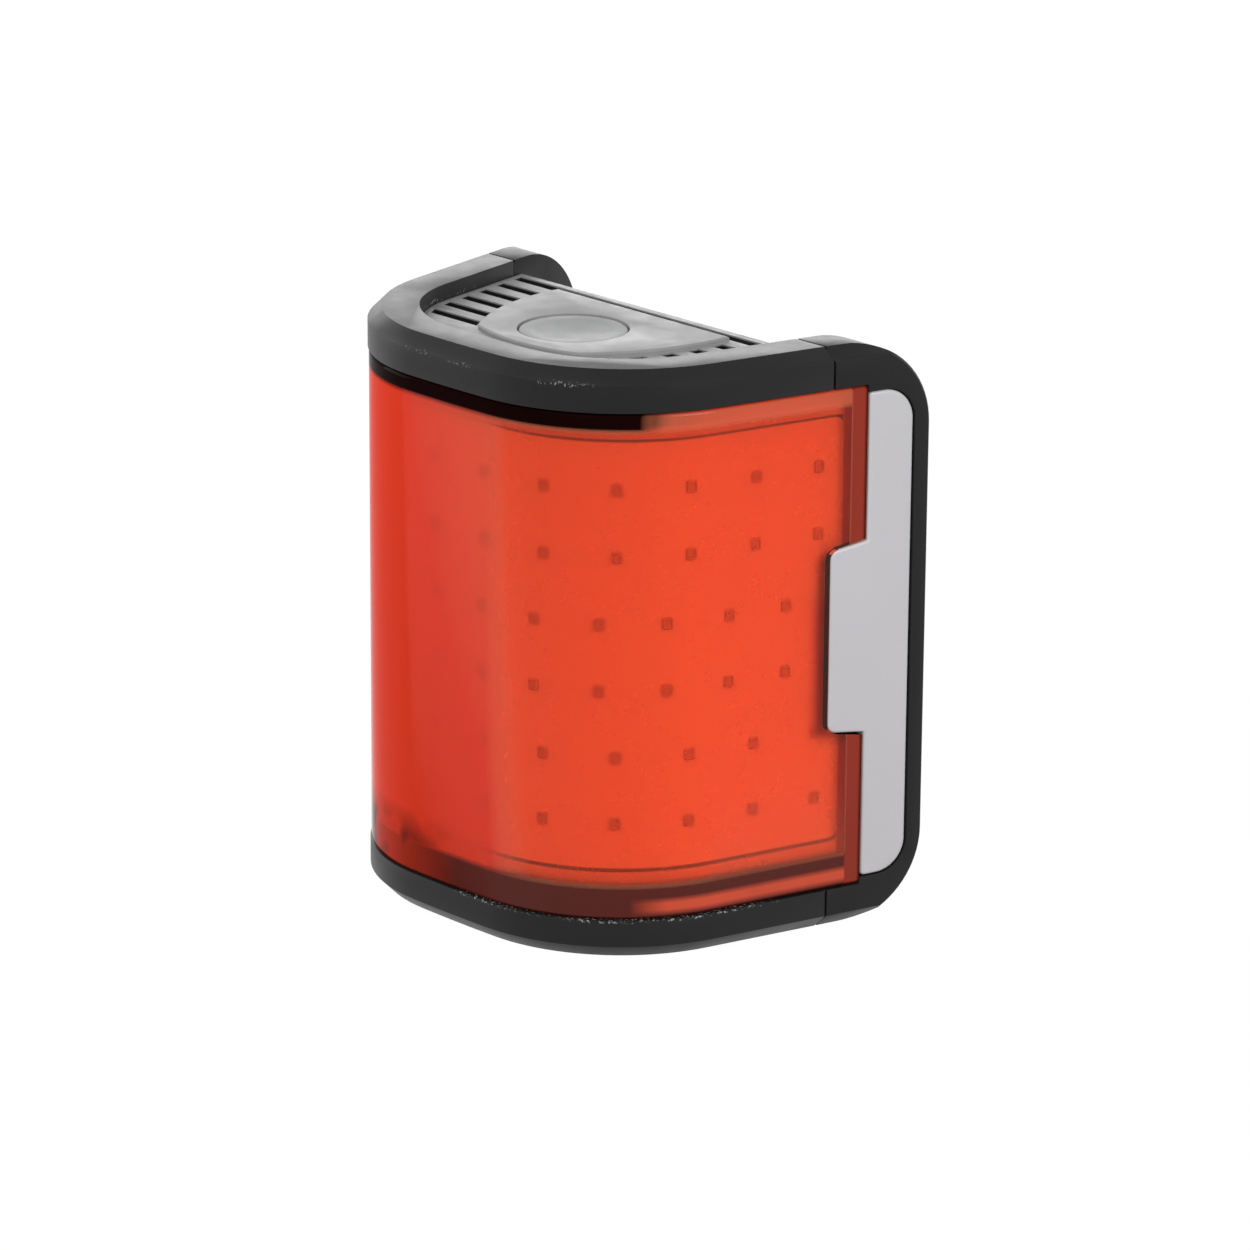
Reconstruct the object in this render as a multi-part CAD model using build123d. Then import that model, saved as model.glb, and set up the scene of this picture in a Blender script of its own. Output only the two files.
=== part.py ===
from build123d import *
from math import cos, radians, sin, sqrt, tan
import os

# Bicycle tail light, in millimetres: +Z up, the front lens faces -Y, the seat post runs along Z behind it.
# The origin is the middle of the flat base. Distances called "ahead" are measured forwards from the rear
# plane of the two side loops, and "inset" is measured inwards from the outer side surface.

# Body outline
body_height = 55.0
body_width = 52.1
body_depth = 35.3
front_radius = 160.0
corner_radius = 17.0
side_lean = radians(12.5)
edge_chamfer = 1.25
loop_radius = 8.15
loop_edge_chamfer = 0.3
seam_ahead = 10.3
seam_groove = 0.25

# Rims and walls of the frame
rim_height = 3.75
rim_width = 4.75
wall = 1.5
floor_thickness = 1.8
ledge_width = 1.0
ledge_thickness = 1.5
tongue_gap = 0.15

# Lens and its seat
lens_proud_gap = 0.1
lens_thickness = 1.6
lens_edge_gap = 0.1
lens_rear_ahead = 6.6
gasket_thickness = 0.3
gasket_width = 1.5
seat_lip_low = 2.45
seat_lip_high = 1.6
rear_lip = 0.25
overrun = 1.0

# Light engine behind the lens
board_air_gap = 0.5
led_board_thickness = 0.35
carrier_thickness = 1.8
carrier_gap = 0.1
carrier_border_gap = 0.2
led_board_low_margin = 1.8
led_board_high_margin = 1.3
led_board_rear_ahead = 7.35
led_board_corner = 1.3
led_board_gap = 0.12
led_width = 0.9
led_height = 1.1
led_rise = 0.3
led_rows = 6
led_half_columns = 6
led_end_margin = 4.52
led_column_pitch = 6.56
led_middle_pitch = 5.96
led_width_per_pitch = 7.94
window_half = 6.3
window_drop = 3.6
window_height = 4.0

# Side trims
trim_rear_ahead = 1.8
trim_width = 4.6
trim_end_gap = 0.75
trim_thickness = 1.5
trim_corner = 3.0
trim_front_corner = 0.4
trim_gap = 0.1
trim_edge_round = 0.3
tab_length = 3.8
tab_root_height = 18.6
tab_tip_height = 17.2
tab_thickness = 0.8
tab_corner = 0.9
tab_gap = 0.15
peg_radius = 0.8
peg_length = 1.6
peg_end_distance = 6.0
peg_gap = 0.1

# Top panel with its slots and island
panel_drop = 1.5
panel_thickness = 1.2
panel_gap = 0.12
panel_rear_ahead = 9.1
slot_width = 1.3
slot_pitch = 2.75
slot_rows = 6
slot_first_ahead = 10.5
slot_end_margin = 0.5
island_rise = 0.45
island_rear_ahead = 11.4
island_half_width = 11.5
island_middle_width = 10.9
island_middle_ahead = 17.5
island_front_half = 6.8
island_shoulder_ahead = 25.6
island_nose_ahead = 26.9
island_corner = 2.0
island_edge = 0.25
mesh_thickness = 0.2

# Button and switch
button_ahead = 20.0
button_radius = 5.0
button_gap = 0.15
button_sink = 0.12
button_dish = 0.35
button_dish_radius = 4.2
button_travel = 0.6
flange_width = 1.0
flange_thickness = 0.75
stem_radius = 2.0
collar_wall = 1.1
collar_gap = 0.4
membrane_thickness = 0.5
nub_radius = 1.5
touch_gap = 0.05
switch_side = 6.0
switch_body_height = 3.1
switch_well = 1.1
plunger_radius = 1.7
plunger_clearance = 0.08
plunger_rise = 0.9
post_radius = 1.8
post_side = 3.5
post_ahead = 15.0
small_board_thickness = 1.0
small_board_side_room = 13.75
small_board_rear_ahead = 12.8
small_board_front_ahead = 26.3
buzzer_radius = 4.2
buzzer_height = 3.0
buzzer_side = 4.3
buzzer_ahead = 22.2
buzzer_port_radius = 0.8
sensor_side = 3.0
sensor_height = 1.0

# Main board, battery and charging socket
rear_wall_thickness = 1.8
main_board_ahead = 17.5
main_board_thickness = 1.0
main_board_side_room = 1.65
main_board_low = 3.4
main_board_top_room = 3.1
standoff_radius = 2.0
standoff_side = 3.7
standoff_end = 2.6
battery_side_room = 14.55
battery_top_room = 5.1
battery_corner = 2.2
pad_thickness = 1.8
pad_margin = 3.2
battery_low = 5.0
battery_rib = 1.2
battery_rib_depth = 2.05
battery_rib_side = 4.0
battery_gap = 0.3
chip_thickness = 0.9
control_chip_side = 6.0
control_chip_drop = 13.0
charge_chip_side = 3.6
charge_chip_rise = 16.6
socket_width = 9.0
socket_height = 3.3
socket_wall = 0.3
socket_tongue_width = 6.7
socket_tongue_height = 0.7
socket_z = 8.3

# Screws
screw_radius = 1.0
screw_head_radius = 1.8
screw_head_height = 1.0
screw_slack = 0.05
housing_screw_length = 6.0
housing_screw_side = 2.24
housing_screw_end = 7.5
housing_boss_radius = 2.4
housing_boss_gap = 0.1
board_screw_length = 5.0
small_screw_radius = 0.8
small_screw_head = 1.5
small_screw_head_height = 0.8

# Charging door
door_half_width = 7.4
door_height = 8.0
door_thickness = 1.2
door_corner = 1.6
door_recess = 0.9
door_gap = 0.15
hinge_z = 3.6
hinge_stand_off = 0.9
knuckle_radius = 1.1
knuckle_half = 4.6
ear_gap = 0.1
ear_width = 1.6
pin_radius = 0.5
pin_clearance = 0.05
seal_width = 9.0
seal_height = 3.3
seal_depth = 0.5
seal_band = 0.8
port_slack = 0.3

# Seat-post saddle
post_fit_radius = 13.6
saddle_ahead = 5.0
saddle_wrap = radians(73.0)
saddle_pad_thickness = 1.6
saddle_wall = 1.4
saddle_low = 13.4
saddle_top_room = 9.0
saddle_end = 1.2
saddle_foot_half = 11.0
strap_peg_ahead = 3.2
strap_peg_root = 11.0
strap_neck_end = 15.6
strap_peg_end = 16.9
strap_peg_height = 7.0
strap_peg_thickness = 2.0
strap_head_height = 9.0
strap_head_thickness = 3.4

# Places that follow from the sizes above
post_behind = post_fit_radius - saddle_ahead
saddle_tip_behind = post_behind - post_fit_radius * cos(saddle_wrap)
loop_y = (body_depth - saddle_tip_behind) / 2
nose_y = loop_y - body_depth
lens_inner = lens_proud_gap + lens_thickness
seat_inset = lens_inner + gasket_thickness
led_face_inset = lens_inner + board_air_gap
carrier_face_inset = led_face_inset + led_board_thickness
carrier_border_inset = lens_inner + carrier_border_gap
recess_inset = carrier_face_inset + carrier_thickness
inner_inset = recess_inset + wall
lens_low = rim_height
lens_high = body_height - rim_height
recess_low = lens_low + seat_lip_low
recess_high = lens_high - seat_lip_high
seat_rear_ahead = lens_rear_ahead
recess_rear_ahead = lens_rear_ahead + rear_lip
panel_top = body_height - panel_drop
panel_under = panel_top - panel_thickness
island_top = panel_top + island_rise
wall_inner_ahead = panel_rear_ahead + rear_wall_thickness
trim_front_ahead = trim_rear_ahead + trim_width
flange_top = panel_under - touch_gap
flange_radius = button_radius + flange_width
collar_inner = flange_radius + collar_gap
collar_outer = collar_inner + collar_wall
flange_bottom = flange_top - flange_thickness
stem_bottom = flange_bottom - button_travel
membrane_top = stem_bottom - touch_gap
membrane_bottom = membrane_top - membrane_thickness
nub_bottom = membrane_bottom - mesh_thickness
plunger_top = nub_bottom - touch_gap
switch_top = plunger_top - plunger_rise
small_board_top = switch_top - switch_body_height
small_board_bottom = small_board_top - small_board_thickness
button_y = loop_y - button_ahead
small_board_half = body_width / 2 - small_board_side_room
post_x = small_board_half - post_side
buzzer_x = small_board_half - buzzer_side
main_board_front_ahead = main_board_ahead + main_board_thickness
main_board_high = small_board_bottom - main_board_top_room
battery_rear_ahead = main_board_front_ahead + pad_thickness
battery_front_ahead = body_depth - inner_inset - battery_rib_depth - battery_gap
battery_half = body_width / 2 - battery_side_room
battery_high = small_board_bottom - battery_top_room
battery_rib_x = battery_half - battery_rib_side
window_high = panel_under - ledge_thickness - window_drop
door_inner_ahead = panel_rear_ahead + door_recess - door_gap
door_outer_ahead = door_inner_ahead - door_thickness
hinge_y = loop_y - panel_rear_ahead + hinge_stand_off
post_axis_y = loop_y + post_behind
saddle_radius = post_fit_radius + saddle_pad_thickness
saddle_outer = saddle_radius + saddle_wall
saddle_high = body_height - saddle_top_room
strap_peg_z = (saddle_low + saddle_high) / 2
far = 3 * body_width

# Plan outline: the right-hand side line, its corner arc and the shallow nose arc touch smoothly
inward = Vector(-cos(side_lean), sin(side_lean))
forward = Vector(-sin(side_lean), -cos(side_lean))
nose_centre = Vector(0, nose_y + front_radius)


def find_corner_centre():
    """Centre of the corner arc that touches both the side line and the nose arc."""
    start = Vector(body_width / 2, loop_y) + inward * corner_radius - nose_centre
    along = start.dot(forward)
    run = sqrt(along * along - start.dot(start) + (front_radius - corner_radius) ** 2) - along
    return nose_centre + start + forward * run


corner_centre = find_corner_centre()
nose_tangent = (corner_centre - nose_centre).normalized()


def mirrored(point):
    """The same plan point on the other side of the body."""
    return Vector(-point.X, point.Y)


def side_x(inset, ahead):
    """Half width of the body at a distance ahead of the loops, drawn in by inset."""
    return body_width / 2 - inset / cos(side_lean) - ahead * tan(side_lean)


def plan_face(inset, rear):
    """Plan of the body drawn in by inset, closed by a straight edge that lies rear ahead of the loops."""
    rear_point = Vector(side_x(inset, rear), loop_y - rear)
    side_end = corner_centre - inward * (corner_radius - inset)
    middle = corner_centre + (nose_tangent - inward).normalized() * (corner_radius - inset)
    nose_end = nose_centre + nose_tangent * (front_radius - inset)
    nose = Vector(0, nose_y + inset)
    edges = [
        Line(rear_point, side_end),
        ThreePointArc(side_end, middle, nose_end),
        ThreePointArc(nose_end, nose, mirrored(nose_end)),
        ThreePointArc(mirrored(nose_end), mirrored(middle), mirrored(side_end)),
        Line(mirrored(side_end), mirrored(rear_point)),
        Line(mirrored(rear_point), rear_point),
    ]
    return Face(Wire(edges))


def slab(inset, rear, low, high):
    """Upright block of the plan outline between two heights."""
    return Pos(0, 0, low) * extrude(plan_face(inset, rear), amount=high - low, dir=(0, 0, 1))


def band(outer, inner, rear, low, high):
    """U-shaped wall that follows the plan outline between two insets, open at the rear."""
    return slab(outer, rear, low, high) - slab(inner, rear - rim_width, low - overrun, high + overrun)


def span(x_low, x_high, ahead_low, ahead_high, z_low, z_high):
    """Box between two limits on each axis, with its depth counted ahead of the loops."""
    middle = Pos((x_low + x_high) / 2, loop_y - (ahead_low + ahead_high) / 2, (z_low + z_high) / 2)
    return middle * Box(x_high - x_low, ahead_high - ahead_low, z_high - z_low)


def upright(radius, x, y, low, high):
    """Vertical cylinder between two heights."""
    return Pos(x, y, (low + high) / 2) * Cylinder(radius, high - low)


def along_y(radius, x, z, ahead_low, ahead_high):
    """Cylinder that runs front to back between two distances ahead of the loops."""
    place = Pos(x, loop_y - (ahead_low + ahead_high) / 2, z) * Rot(90, 0, 0)
    return place * Cylinder(radius, ahead_high - ahead_low)


def along_x(radius, y, z, x_low, x_high):
    """Cylinder that runs across the body."""
    return Pos((x_low + x_high) / 2, y, z) * Rot(0, 90, 0) * Cylinder(radius, x_high - x_low)


def side_sketch(face):
    """Put a sketch whose axes are (forwards distance, height) onto the body's side plane."""
    return Plane(origin=(0, loop_y, 0), x_dir=(0, -1, 0), z_dir=(-1, 0, 0)) * face


def through_side(face):
    """Cut a side sketch through the right half of the body."""
    return extrude(side_sketch(face), amount=far, dir=(1, 0, 0))


def both_sides(solid):
    """The solid and its mirror image."""
    return solid + mirror(solid, about=Plane.YZ)


def loop_profile():
    """Side profile of the body, with the rounded corners that make the loops at the rear."""
    profile = Pos(body_depth / 2, body_height / 2) * Rectangle(body_depth, body_height)
    return fillet(profile.vertices().group_by(Axis.X)[0], loop_radius)


def envelope():
    """Outer form of the whole body: the rims' chamfer runs out into the rounded loops at the rear."""
    block = slab(0, 0, 0, body_height)
    top_outline = block.faces().sort_by(Axis.Z)[-1].edges().filter_by(Axis.X, reverse=True)
    bottom_outline = block.faces().sort_by(Axis.Z)[0].edges().filter_by(Axis.X, reverse=True)
    block = chamfer(top_outline + bottom_outline, edge_chamfer)
    block = block & both_sides(through_side(loop_profile()))
    side_edges = block.faces().filter_by(Axis.Y).sort_by(Axis.Y)[-1].edges().filter_by(Axis.X, reverse=True)
    return chamfer(side_edges, loop_edge_chamfer)


def strip_sketch():
    """Long upright part of a side trim, rounded at its rear corners."""
    low = rim_height + trim_end_gap
    high = body_height - rim_height - trim_end_gap
    middle = Pos((trim_rear_ahead + trim_front_ahead) / 2, (low + high) / 2)
    strip = middle * Rectangle(trim_width, high - low)
    strip = fillet(strip.vertices().group_by(Axis.X)[0], trim_corner)
    return fillet(strip.vertices().group_by(Axis.X)[-1], trim_front_corner)


def tab_sketch():
    """Tapered tab of a side trim, from inside the strip to its free end over the lens."""
    middle_z = body_height / 2
    root = trim_front_ahead - trim_width / 3
    tip = trim_front_ahead + tab_length
    corners = [
        (root, middle_z - tab_root_height / 2),
        (tip, middle_z - tab_tip_height / 2),
        (tip, middle_z + tab_tip_height / 2),
        (root, middle_z + tab_root_height / 2),
    ]
    tab = make_face(Polyline(*corners, close=True))
    return fillet(tab.vertices().group_by(Axis.X)[-1], tab_corner)


def trim_pocket():
    """Pocket in one side loop that takes the strip of a trim."""
    pocket = through_side(offset(strip_sketch(), amount=trim_gap))
    open_front = span(0, far, trim_front_ahead - overrun, seat_rear_ahead + overrun, *trim_heights())
    return (pocket + open_front) & band(-rim_width, trim_thickness + trim_gap, 0, 0, body_height)


def trim_heights():
    """Lowest and highest level of a trim's pocket."""
    return rim_height + trim_end_gap - trim_gap, body_height - rim_height - trim_end_gap + trim_gap


def side_trim():
    """T-shaped trim of the right side: strip, tab over the lens and two press pegs."""
    strip = through_side(strip_sketch()) & band(0, trim_thickness, 0, 0, body_height)
    tab = through_side(tab_sketch()) & band(0, tab_thickness, 0, 0, body_height)
    trim = strip + tab
    outer = trim.faces().sort_by(lambda face: face.normal_at().dot(-inward))[-1]
    trim = fillet(outer.edges(), trim_edge_round)
    for z in trim_peg_heights():
        trim += trim_peg(z, peg_radius, trim_thickness + peg_length)
    return trim


def trim_peg_heights():
    """Levels of the two press pegs of a trim."""
    from_end = rim_height + trim_end_gap + peg_end_distance
    return from_end, body_height - from_end


def trim_peg(z, radius, depth):
    """Peg on the back of a trim, square to the side, from mid-thickness to its depth."""
    ahead = (trim_rear_ahead + trim_front_ahead) / 2
    start = Vector(side_x(trim_thickness / 2, ahead), loop_y - ahead, z)
    length = depth - trim_thickness / 2
    axis = Plane(origin=start, z_dir=inward)
    return extrude(axis * Circle(radius), amount=length)


def lens_seat():
    """Step round the body that takes the gasket and the lens."""
    return band(-rim_width, seat_inset, seat_rear_ahead, lens_low, lens_high)


def engine_recess():
    """Deeper step behind the lens that takes the carrier of the light engine."""
    return band(-rim_width, recess_inset, recess_rear_ahead, recess_low, recess_high)


def front_frame():
    """Front moulding: both rims, the wall between them, the floor, the panel ledge and the screw bosses."""
    deep = seam_ahead - overrun
    frame = envelope() & span(-far, far, seam_ahead, far, -overrun, body_height + overrun)
    frame -= lens_seat() + engine_recess()
    frame -= slab(inner_inset, deep, floor_thickness, panel_under - ledge_thickness)
    frame -= slab(inner_inset + ledge_width, deep, floor_thickness, panel_under + overrun)
    frame -= slab(rim_width, deep, panel_under, body_height + overrun)
    frame += battery_ribs() + housing_bosses()
    frame -= housing_screw_holes(screw_radius)
    return frame - cable_window()


def battery_ribs():
    """Two upright ribs inside the front wall that hold the battery back."""
    start = battery_front_ahead + battery_gap
    end = body_depth - inner_inset + wall / 2
    rib = span(battery_rib_x, battery_rib_x + battery_rib, start, end, floor_thickness, battery_high)
    return both_sides(rib)


def housing_screw_places():
    """X and Z of the four screws that join the two housings."""
    reach = side_x(inner_inset, wall_inner_ahead) - housing_screw_side
    heights = (housing_screw_end, body_height - housing_screw_end)
    return [(x, z) for x in (-reach, reach) for z in heights]


def housing_bosses():
    """Four bosses on the side walls of the front moulding."""
    start = wall_inner_ahead + housing_boss_gap
    end = panel_rear_ahead + housing_screw_length + wall
    bosses = Part()
    for x, z in housing_screw_places():
        bosses += along_y(housing_boss_radius, x, z, start, end)
    inside = slab(inner_inset - wall / 2, seam_ahead, floor_thickness, panel_under - ledge_thickness / 2)
    return bosses & inside


def housing_screw_holes(radius):
    """Bores for the four housing screws."""
    start = panel_rear_ahead - overrun
    holes = Part()
    for x, z in housing_screw_places():
        holes += along_y(radius, x, z, start, panel_rear_ahead + housing_screw_length + screw_slack * 2)
    return holes


def cable_window():
    """Window in the front wall for the leads of the light engine."""
    return span(-window_half, window_half, body_depth - inner_inset - overrun, body_depth - seat_inset,
                window_high - window_height, window_high)


def rear_housing():
    """Rear moulding: side loops, rear wall, saddle, strap pegs and the charging door's seat."""
    body = envelope() & span(-far, far, -overrun, seam_ahead, -overrun, body_height + overrun)
    channel = slab(rim_width, -rim_width, -overrun, body_height + overrun)
    body -= channel & span(-far, far, -rim_width, panel_rear_ahead, -overrun, body_height + overrun)
    body -= channel & span(-far, far, panel_rear_ahead - overrun, seam_ahead + overrun,
                           panel_under, body_height + overrun)
    body += wall_tongue()
    body -= lens_seat() + engine_recess()
    body -= both_sides(trim_pocket())
    for z in trim_peg_heights():
        body -= both_sides(trim_peg(z, peg_radius + peg_gap, trim_thickness + peg_length + peg_gap))
    body -= seam_step()
    body += saddle_block() + strap_pegs() + hinge_ears()
    body -= saddle_hollow()
    body += board_standoffs()
    body -= saddle_seat()
    body -= board_screw_holes(screw_radius)
    body -= housing_screw_holes(screw_radius + screw_slack)
    for x, z in housing_screw_places():
        body -= along_y(screw_head_radius + screw_slack, x, z, 0, panel_rear_ahead + screw_head_height)
    return body - port_openings()


def seam_step():
    """Narrow step round the outside, which shows the joint of the two housings as a fine line."""
    cut = span(-far, far, seam_ahead - seam_groove, seam_ahead + overrun, -overrun, body_height + overrun)
    return cut - slab(seam_groove, 0, seam_groove, body_height - seam_groove)


def wall_tongue():
    """Front part of the rear wall, which reaches into the front moulding."""
    start = (panel_rear_ahead + seam_ahead) / 2
    low = floor_thickness + tongue_gap
    high = panel_under - ledge_thickness - tongue_gap
    tongue = slab(inner_inset + tongue_gap, start, low, high)
    return tongue & span(-far, far, start, wall_inner_ahead, low, high)


def post_cylinder(radius):
    """Upright cylinder about the seat post's axis, through the whole height of the body."""
    return upright(radius, 0, post_axis_y, -overrun, body_height + overrun)


def saddle_block():
    """Curved saddle shell on a foot that stands on the rear wall."""
    shell = upright(saddle_outer, 0, post_axis_y, saddle_low, saddle_high)
    shell &= span(-far, far, -saddle_tip_behind, panel_rear_ahead, saddle_low, saddle_high)
    foot_start = sqrt(saddle_outer ** 2 - saddle_foot_half ** 2) - post_behind - saddle_wall / 2
    foot = span(-saddle_foot_half, saddle_foot_half, foot_start, panel_rear_ahead + wall / 2,
                saddle_low, saddle_high)
    return shell + foot


def saddle_hollow():
    """Hollow inside the saddle's foot, open to the inside of the housing."""
    half = saddle_foot_half - saddle_wall
    hollow = span(-half, half, 0, wall_inner_ahead + overrun, saddle_low + saddle_wall,
                  saddle_high - saddle_wall)
    return hollow - post_cylinder(saddle_outer)


def saddle_seat():
    """Round seat for the pad, with a lip above and below it."""
    seat = upright(saddle_radius, 0, post_axis_y, saddle_low + saddle_end, saddle_high - saddle_end)
    return seat + post_cylinder(post_fit_radius + saddle_pad_thickness / 2)


def saddle_pad():
    """Rubber pad that lines the saddle."""
    ring = upright(saddle_radius, 0, post_axis_y, saddle_low + saddle_end, saddle_high - saddle_end)
    ring -= post_cylinder(post_fit_radius)
    return ring & span(-far, far, -saddle_tip_behind, panel_rear_ahead, saddle_low, saddle_high)


def strap_pegs():
    """Two T-headed pegs on the sides of the saddle for a rubber strap."""
    neck = span(strap_peg_root, strap_neck_end, strap_peg_ahead - strap_peg_thickness / 2,
                strap_peg_ahead + strap_peg_thickness / 2,
                strap_peg_z - strap_peg_height / 2, strap_peg_z + strap_peg_height / 2)
    head = span(strap_neck_end, strap_peg_end, strap_peg_ahead - strap_head_thickness / 2,
                strap_peg_ahead + strap_head_thickness / 2,
                strap_peg_z - strap_head_height / 2, strap_peg_z + strap_head_height / 2)
    head = fillet(head.edges().filter_by(Axis.X), strap_peg_thickness / 2)
    return both_sides(neck + head)


def door_sketch(grow):
    """Outline of the charging door on the rear wall, in X and Z, with its lower edge at the hinge."""
    middle = Pos(0, hinge_z + door_height / 2)
    return middle * RectangleRounded(2 * (door_half_width + grow), door_height + 2 * grow, door_corner)


def rear_sketch(face, ahead):
    """Put a sketch in X and Z onto an upright plane at a distance ahead of the loops."""
    return Plane(origin=(0, loop_y - ahead, 0), x_dir=(1, 0, 0), z_dir=(0, -1, 0)) * face


def rear_block(face, ahead_low, ahead_high):
    """Block of an X and Z sketch between two distances ahead of the loops."""
    return extrude(rear_sketch(face, ahead_low), amount=ahead_high - ahead_low, dir=(0, -1, 0))


def port_sketch(width, height):
    """Rounded slot of the charging socket, in X and Z."""
    return Pos(0, socket_z) * RectangleRounded(width, height, height / 2 - touch_gap)


def port_openings():
    """Recess for the door and the slot in the rear wall in front of the socket."""
    recess = rear_block(door_sketch(door_gap), panel_rear_ahead - ear_width, panel_rear_ahead + door_recess)
    recess -= span(-far, far, 0, panel_rear_ahead, -overrun, body_height)
    slot = rear_block(port_sketch(socket_width + 2 * port_slack, socket_height + 2 * port_slack),
                      panel_rear_ahead, wall_inner_ahead + overrun)
    reach = knuckle_half + ear_gap
    relief = along_x(knuckle_radius + door_gap, hinge_y, hinge_z, -reach, reach)
    return recess + slot + relief


def hinge_ears():
    """Two ears on the rear wall that hold the door's pin."""
    start = knuckle_half + ear_gap
    ear = along_x(knuckle_radius, hinge_y, hinge_z, start, start + ear_width)
    web = span(start, start + ear_width, loop_y - hinge_y, panel_rear_ahead + wall / 2,
               hinge_z - knuckle_radius, hinge_z + knuckle_radius)
    return both_sides(ear + web - along_x(pin_radius, hinge_y, hinge_z, 0, far))


def port_door():
    """Charging door: rounded plate and one long knuckle round the pin."""
    plate = rear_block(door_sketch(0), door_outer_ahead, door_inner_ahead)
    ear_reach = knuckle_half + ear_gap
    plate -= both_sides(span(ear_reach - ear_gap, far, 0, far, 0, hinge_z + knuckle_radius + door_gap))
    knuckle = along_x(knuckle_radius, hinge_y, hinge_z, -knuckle_half, knuckle_half)
    web = span(-knuckle_half, knuckle_half, loop_y - hinge_y, door_inner_ahead,
               hinge_z, hinge_z + knuckle_radius)
    return plate + knuckle + web - along_x(pin_radius + pin_clearance, hinge_y, hinge_z, -far, far)


def port_seal():
    """Rubber ring on the inside of the door that plugs the slot in the rear wall."""
    outer = port_sketch(seal_width, seal_height)
    inner = port_sketch(seal_width - 2 * seal_band, seal_height - 2 * seal_band)
    return rear_block(outer - inner, door_inner_ahead, door_inner_ahead + seal_depth)


def hinge_pin():
    """Steel pin of the charging door."""
    reach = knuckle_half + ear_gap + ear_width
    return along_x(pin_radius, hinge_y, hinge_z, -reach, reach)


def standoff_places():
    """X and Z of the four posts that carry the main board."""
    reach = main_board_half() - standoff_side
    heights = (main_board_low + standoff_end, main_board_high - standoff_end)
    return [(x, z) for x in (-reach, reach) for z in heights]


def board_standoffs():
    """Four posts on the inside of the rear wall that carry the main board."""
    posts = Part()
    for x, z in standoff_places():
        posts += along_y(standoff_radius, x, z, wall_inner_ahead - wall / 2, main_board_ahead)
    return posts


def board_screw_holes(radius):
    """Bores for the four main board screws."""
    end = main_board_front_ahead
    holes = Part()
    for x, z in standoff_places():
        holes += along_y(radius, x, z, end - board_screw_length - screw_slack * 2, end + overrun)
    return holes


def lens():
    """Curved window with a shallow pocket at each end for the trim's tab."""
    window = band(lens_proud_gap, lens_inner, lens_rear_ahead, lens_low + lens_edge_gap,
                  lens_high - lens_edge_gap)
    pocket = through_side(offset(tab_sketch(), amount=tab_gap))
    pocket &= band(-rim_width, tab_thickness + tab_gap, 0, 0, body_height)
    return window - both_sides(pocket)


def lens_gasket():
    """Rubber frame between the lens and its seat."""
    low = lens_low + lens_edge_gap
    high = lens_high - lens_edge_gap
    frame = band(lens_inner, seat_inset, seat_rear_ahead, low, high)
    opening_rear = seat_rear_ahead + rear_lip
    return frame - band(0, seat_inset + overrun, opening_rear, low + gasket_width, high - gasket_width)


def rounded_band(outer, inner, rear, low, high, radius):
    """Band that follows the plan outline, with its four end corners rounded as seen from the side."""
    strip = band(outer, inner, rear, low, high)
    return fillet(strip.edges().filter_by(Axis.X).group_by(Axis.Y)[-1], radius)


def led_carrier():
    """White tray with a raised border round the flexible board, and a window for the leads."""
    tray = band(carrier_border_inset, recess_inset, recess_rear_ahead + carrier_gap,
                recess_low + carrier_gap, recess_high - carrier_gap)
    low, high = led_board_heights()
    pocket = rounded_band(-rim_width, carrier_face_inset, led_board_rear_ahead - led_board_gap,
                          low - led_board_gap, high + led_board_gap, led_board_corner + led_board_gap)
    return tray - pocket - cable_window()


def led_board_heights():
    """Lowest and highest level of the flexible board."""
    return (recess_low + carrier_gap + led_board_low_margin,
            recess_high - carrier_gap - led_board_high_margin)


def led_board():
    """Flexible white board with rounded corners, bent round the tray's floor."""
    low, high = led_board_heights()
    return rounded_band(led_face_inset, carrier_face_inset, led_board_rear_ahead, low, high, led_board_corner)


def outline_place(inset, run, z):
    """Plane on the plan outline at a run of length from the nose, facing outwards."""
    nose_angle = nose_tangent.get_angle(Vector(0, -1))
    nose_run = radians(nose_angle) * (front_radius - inset)
    corner_turn = nose_tangent.get_angle(-inward)
    corner_run = radians(corner_turn) * (corner_radius - inset)
    distance = abs(run)
    if distance < nose_run:
        turn = distance / (front_radius - inset)
        outward = Vector(sin(turn), -cos(turn))
        point = nose_centre + outward * (front_radius - inset)
    elif distance < nose_run + corner_run:
        turn = radians(nose_angle) + (distance - nose_run) / (corner_radius - inset)
        outward = Vector(sin(turn), -cos(turn))
        point = corner_centre + outward * (corner_radius - inset)
    else:
        outward = -inward
        point = corner_centre + outward * (corner_radius - inset)
        point -= forward * (distance - nose_run - corner_run)
    if run < 0:
        point, outward = mirrored(point), mirrored(outward)
    return Plane(origin=(point.X, point.Y, z), x_dir=(-outward.Y, outward.X, 0), z_dir=outward)


def leds():
    """Six rows of small diodes; the two middle rows are set a little closer together."""
    low, high = led_board_heights()
    row_pitch = (high - low - 2 * led_end_margin) / (led_rows - 1)
    wide_pitch = body_width / led_width_per_pitch
    narrow_pitch = wide_pitch * led_middle_pitch / led_column_pitch
    parts = []
    for row in range(led_rows):
        z = low + led_end_margin + row * row_pitch
        pitch = narrow_pitch if row in (led_rows // 2 - 1, led_rows // 2) else wide_pitch
        for column in range(-led_half_columns, led_half_columns):
            place = outline_place(led_face_inset, (column + 0.5) * pitch, z)
            parts.append(extrude(place * Rectangle(led_width, led_height), amount=led_rise))
    return Compound(children=parts)


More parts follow.
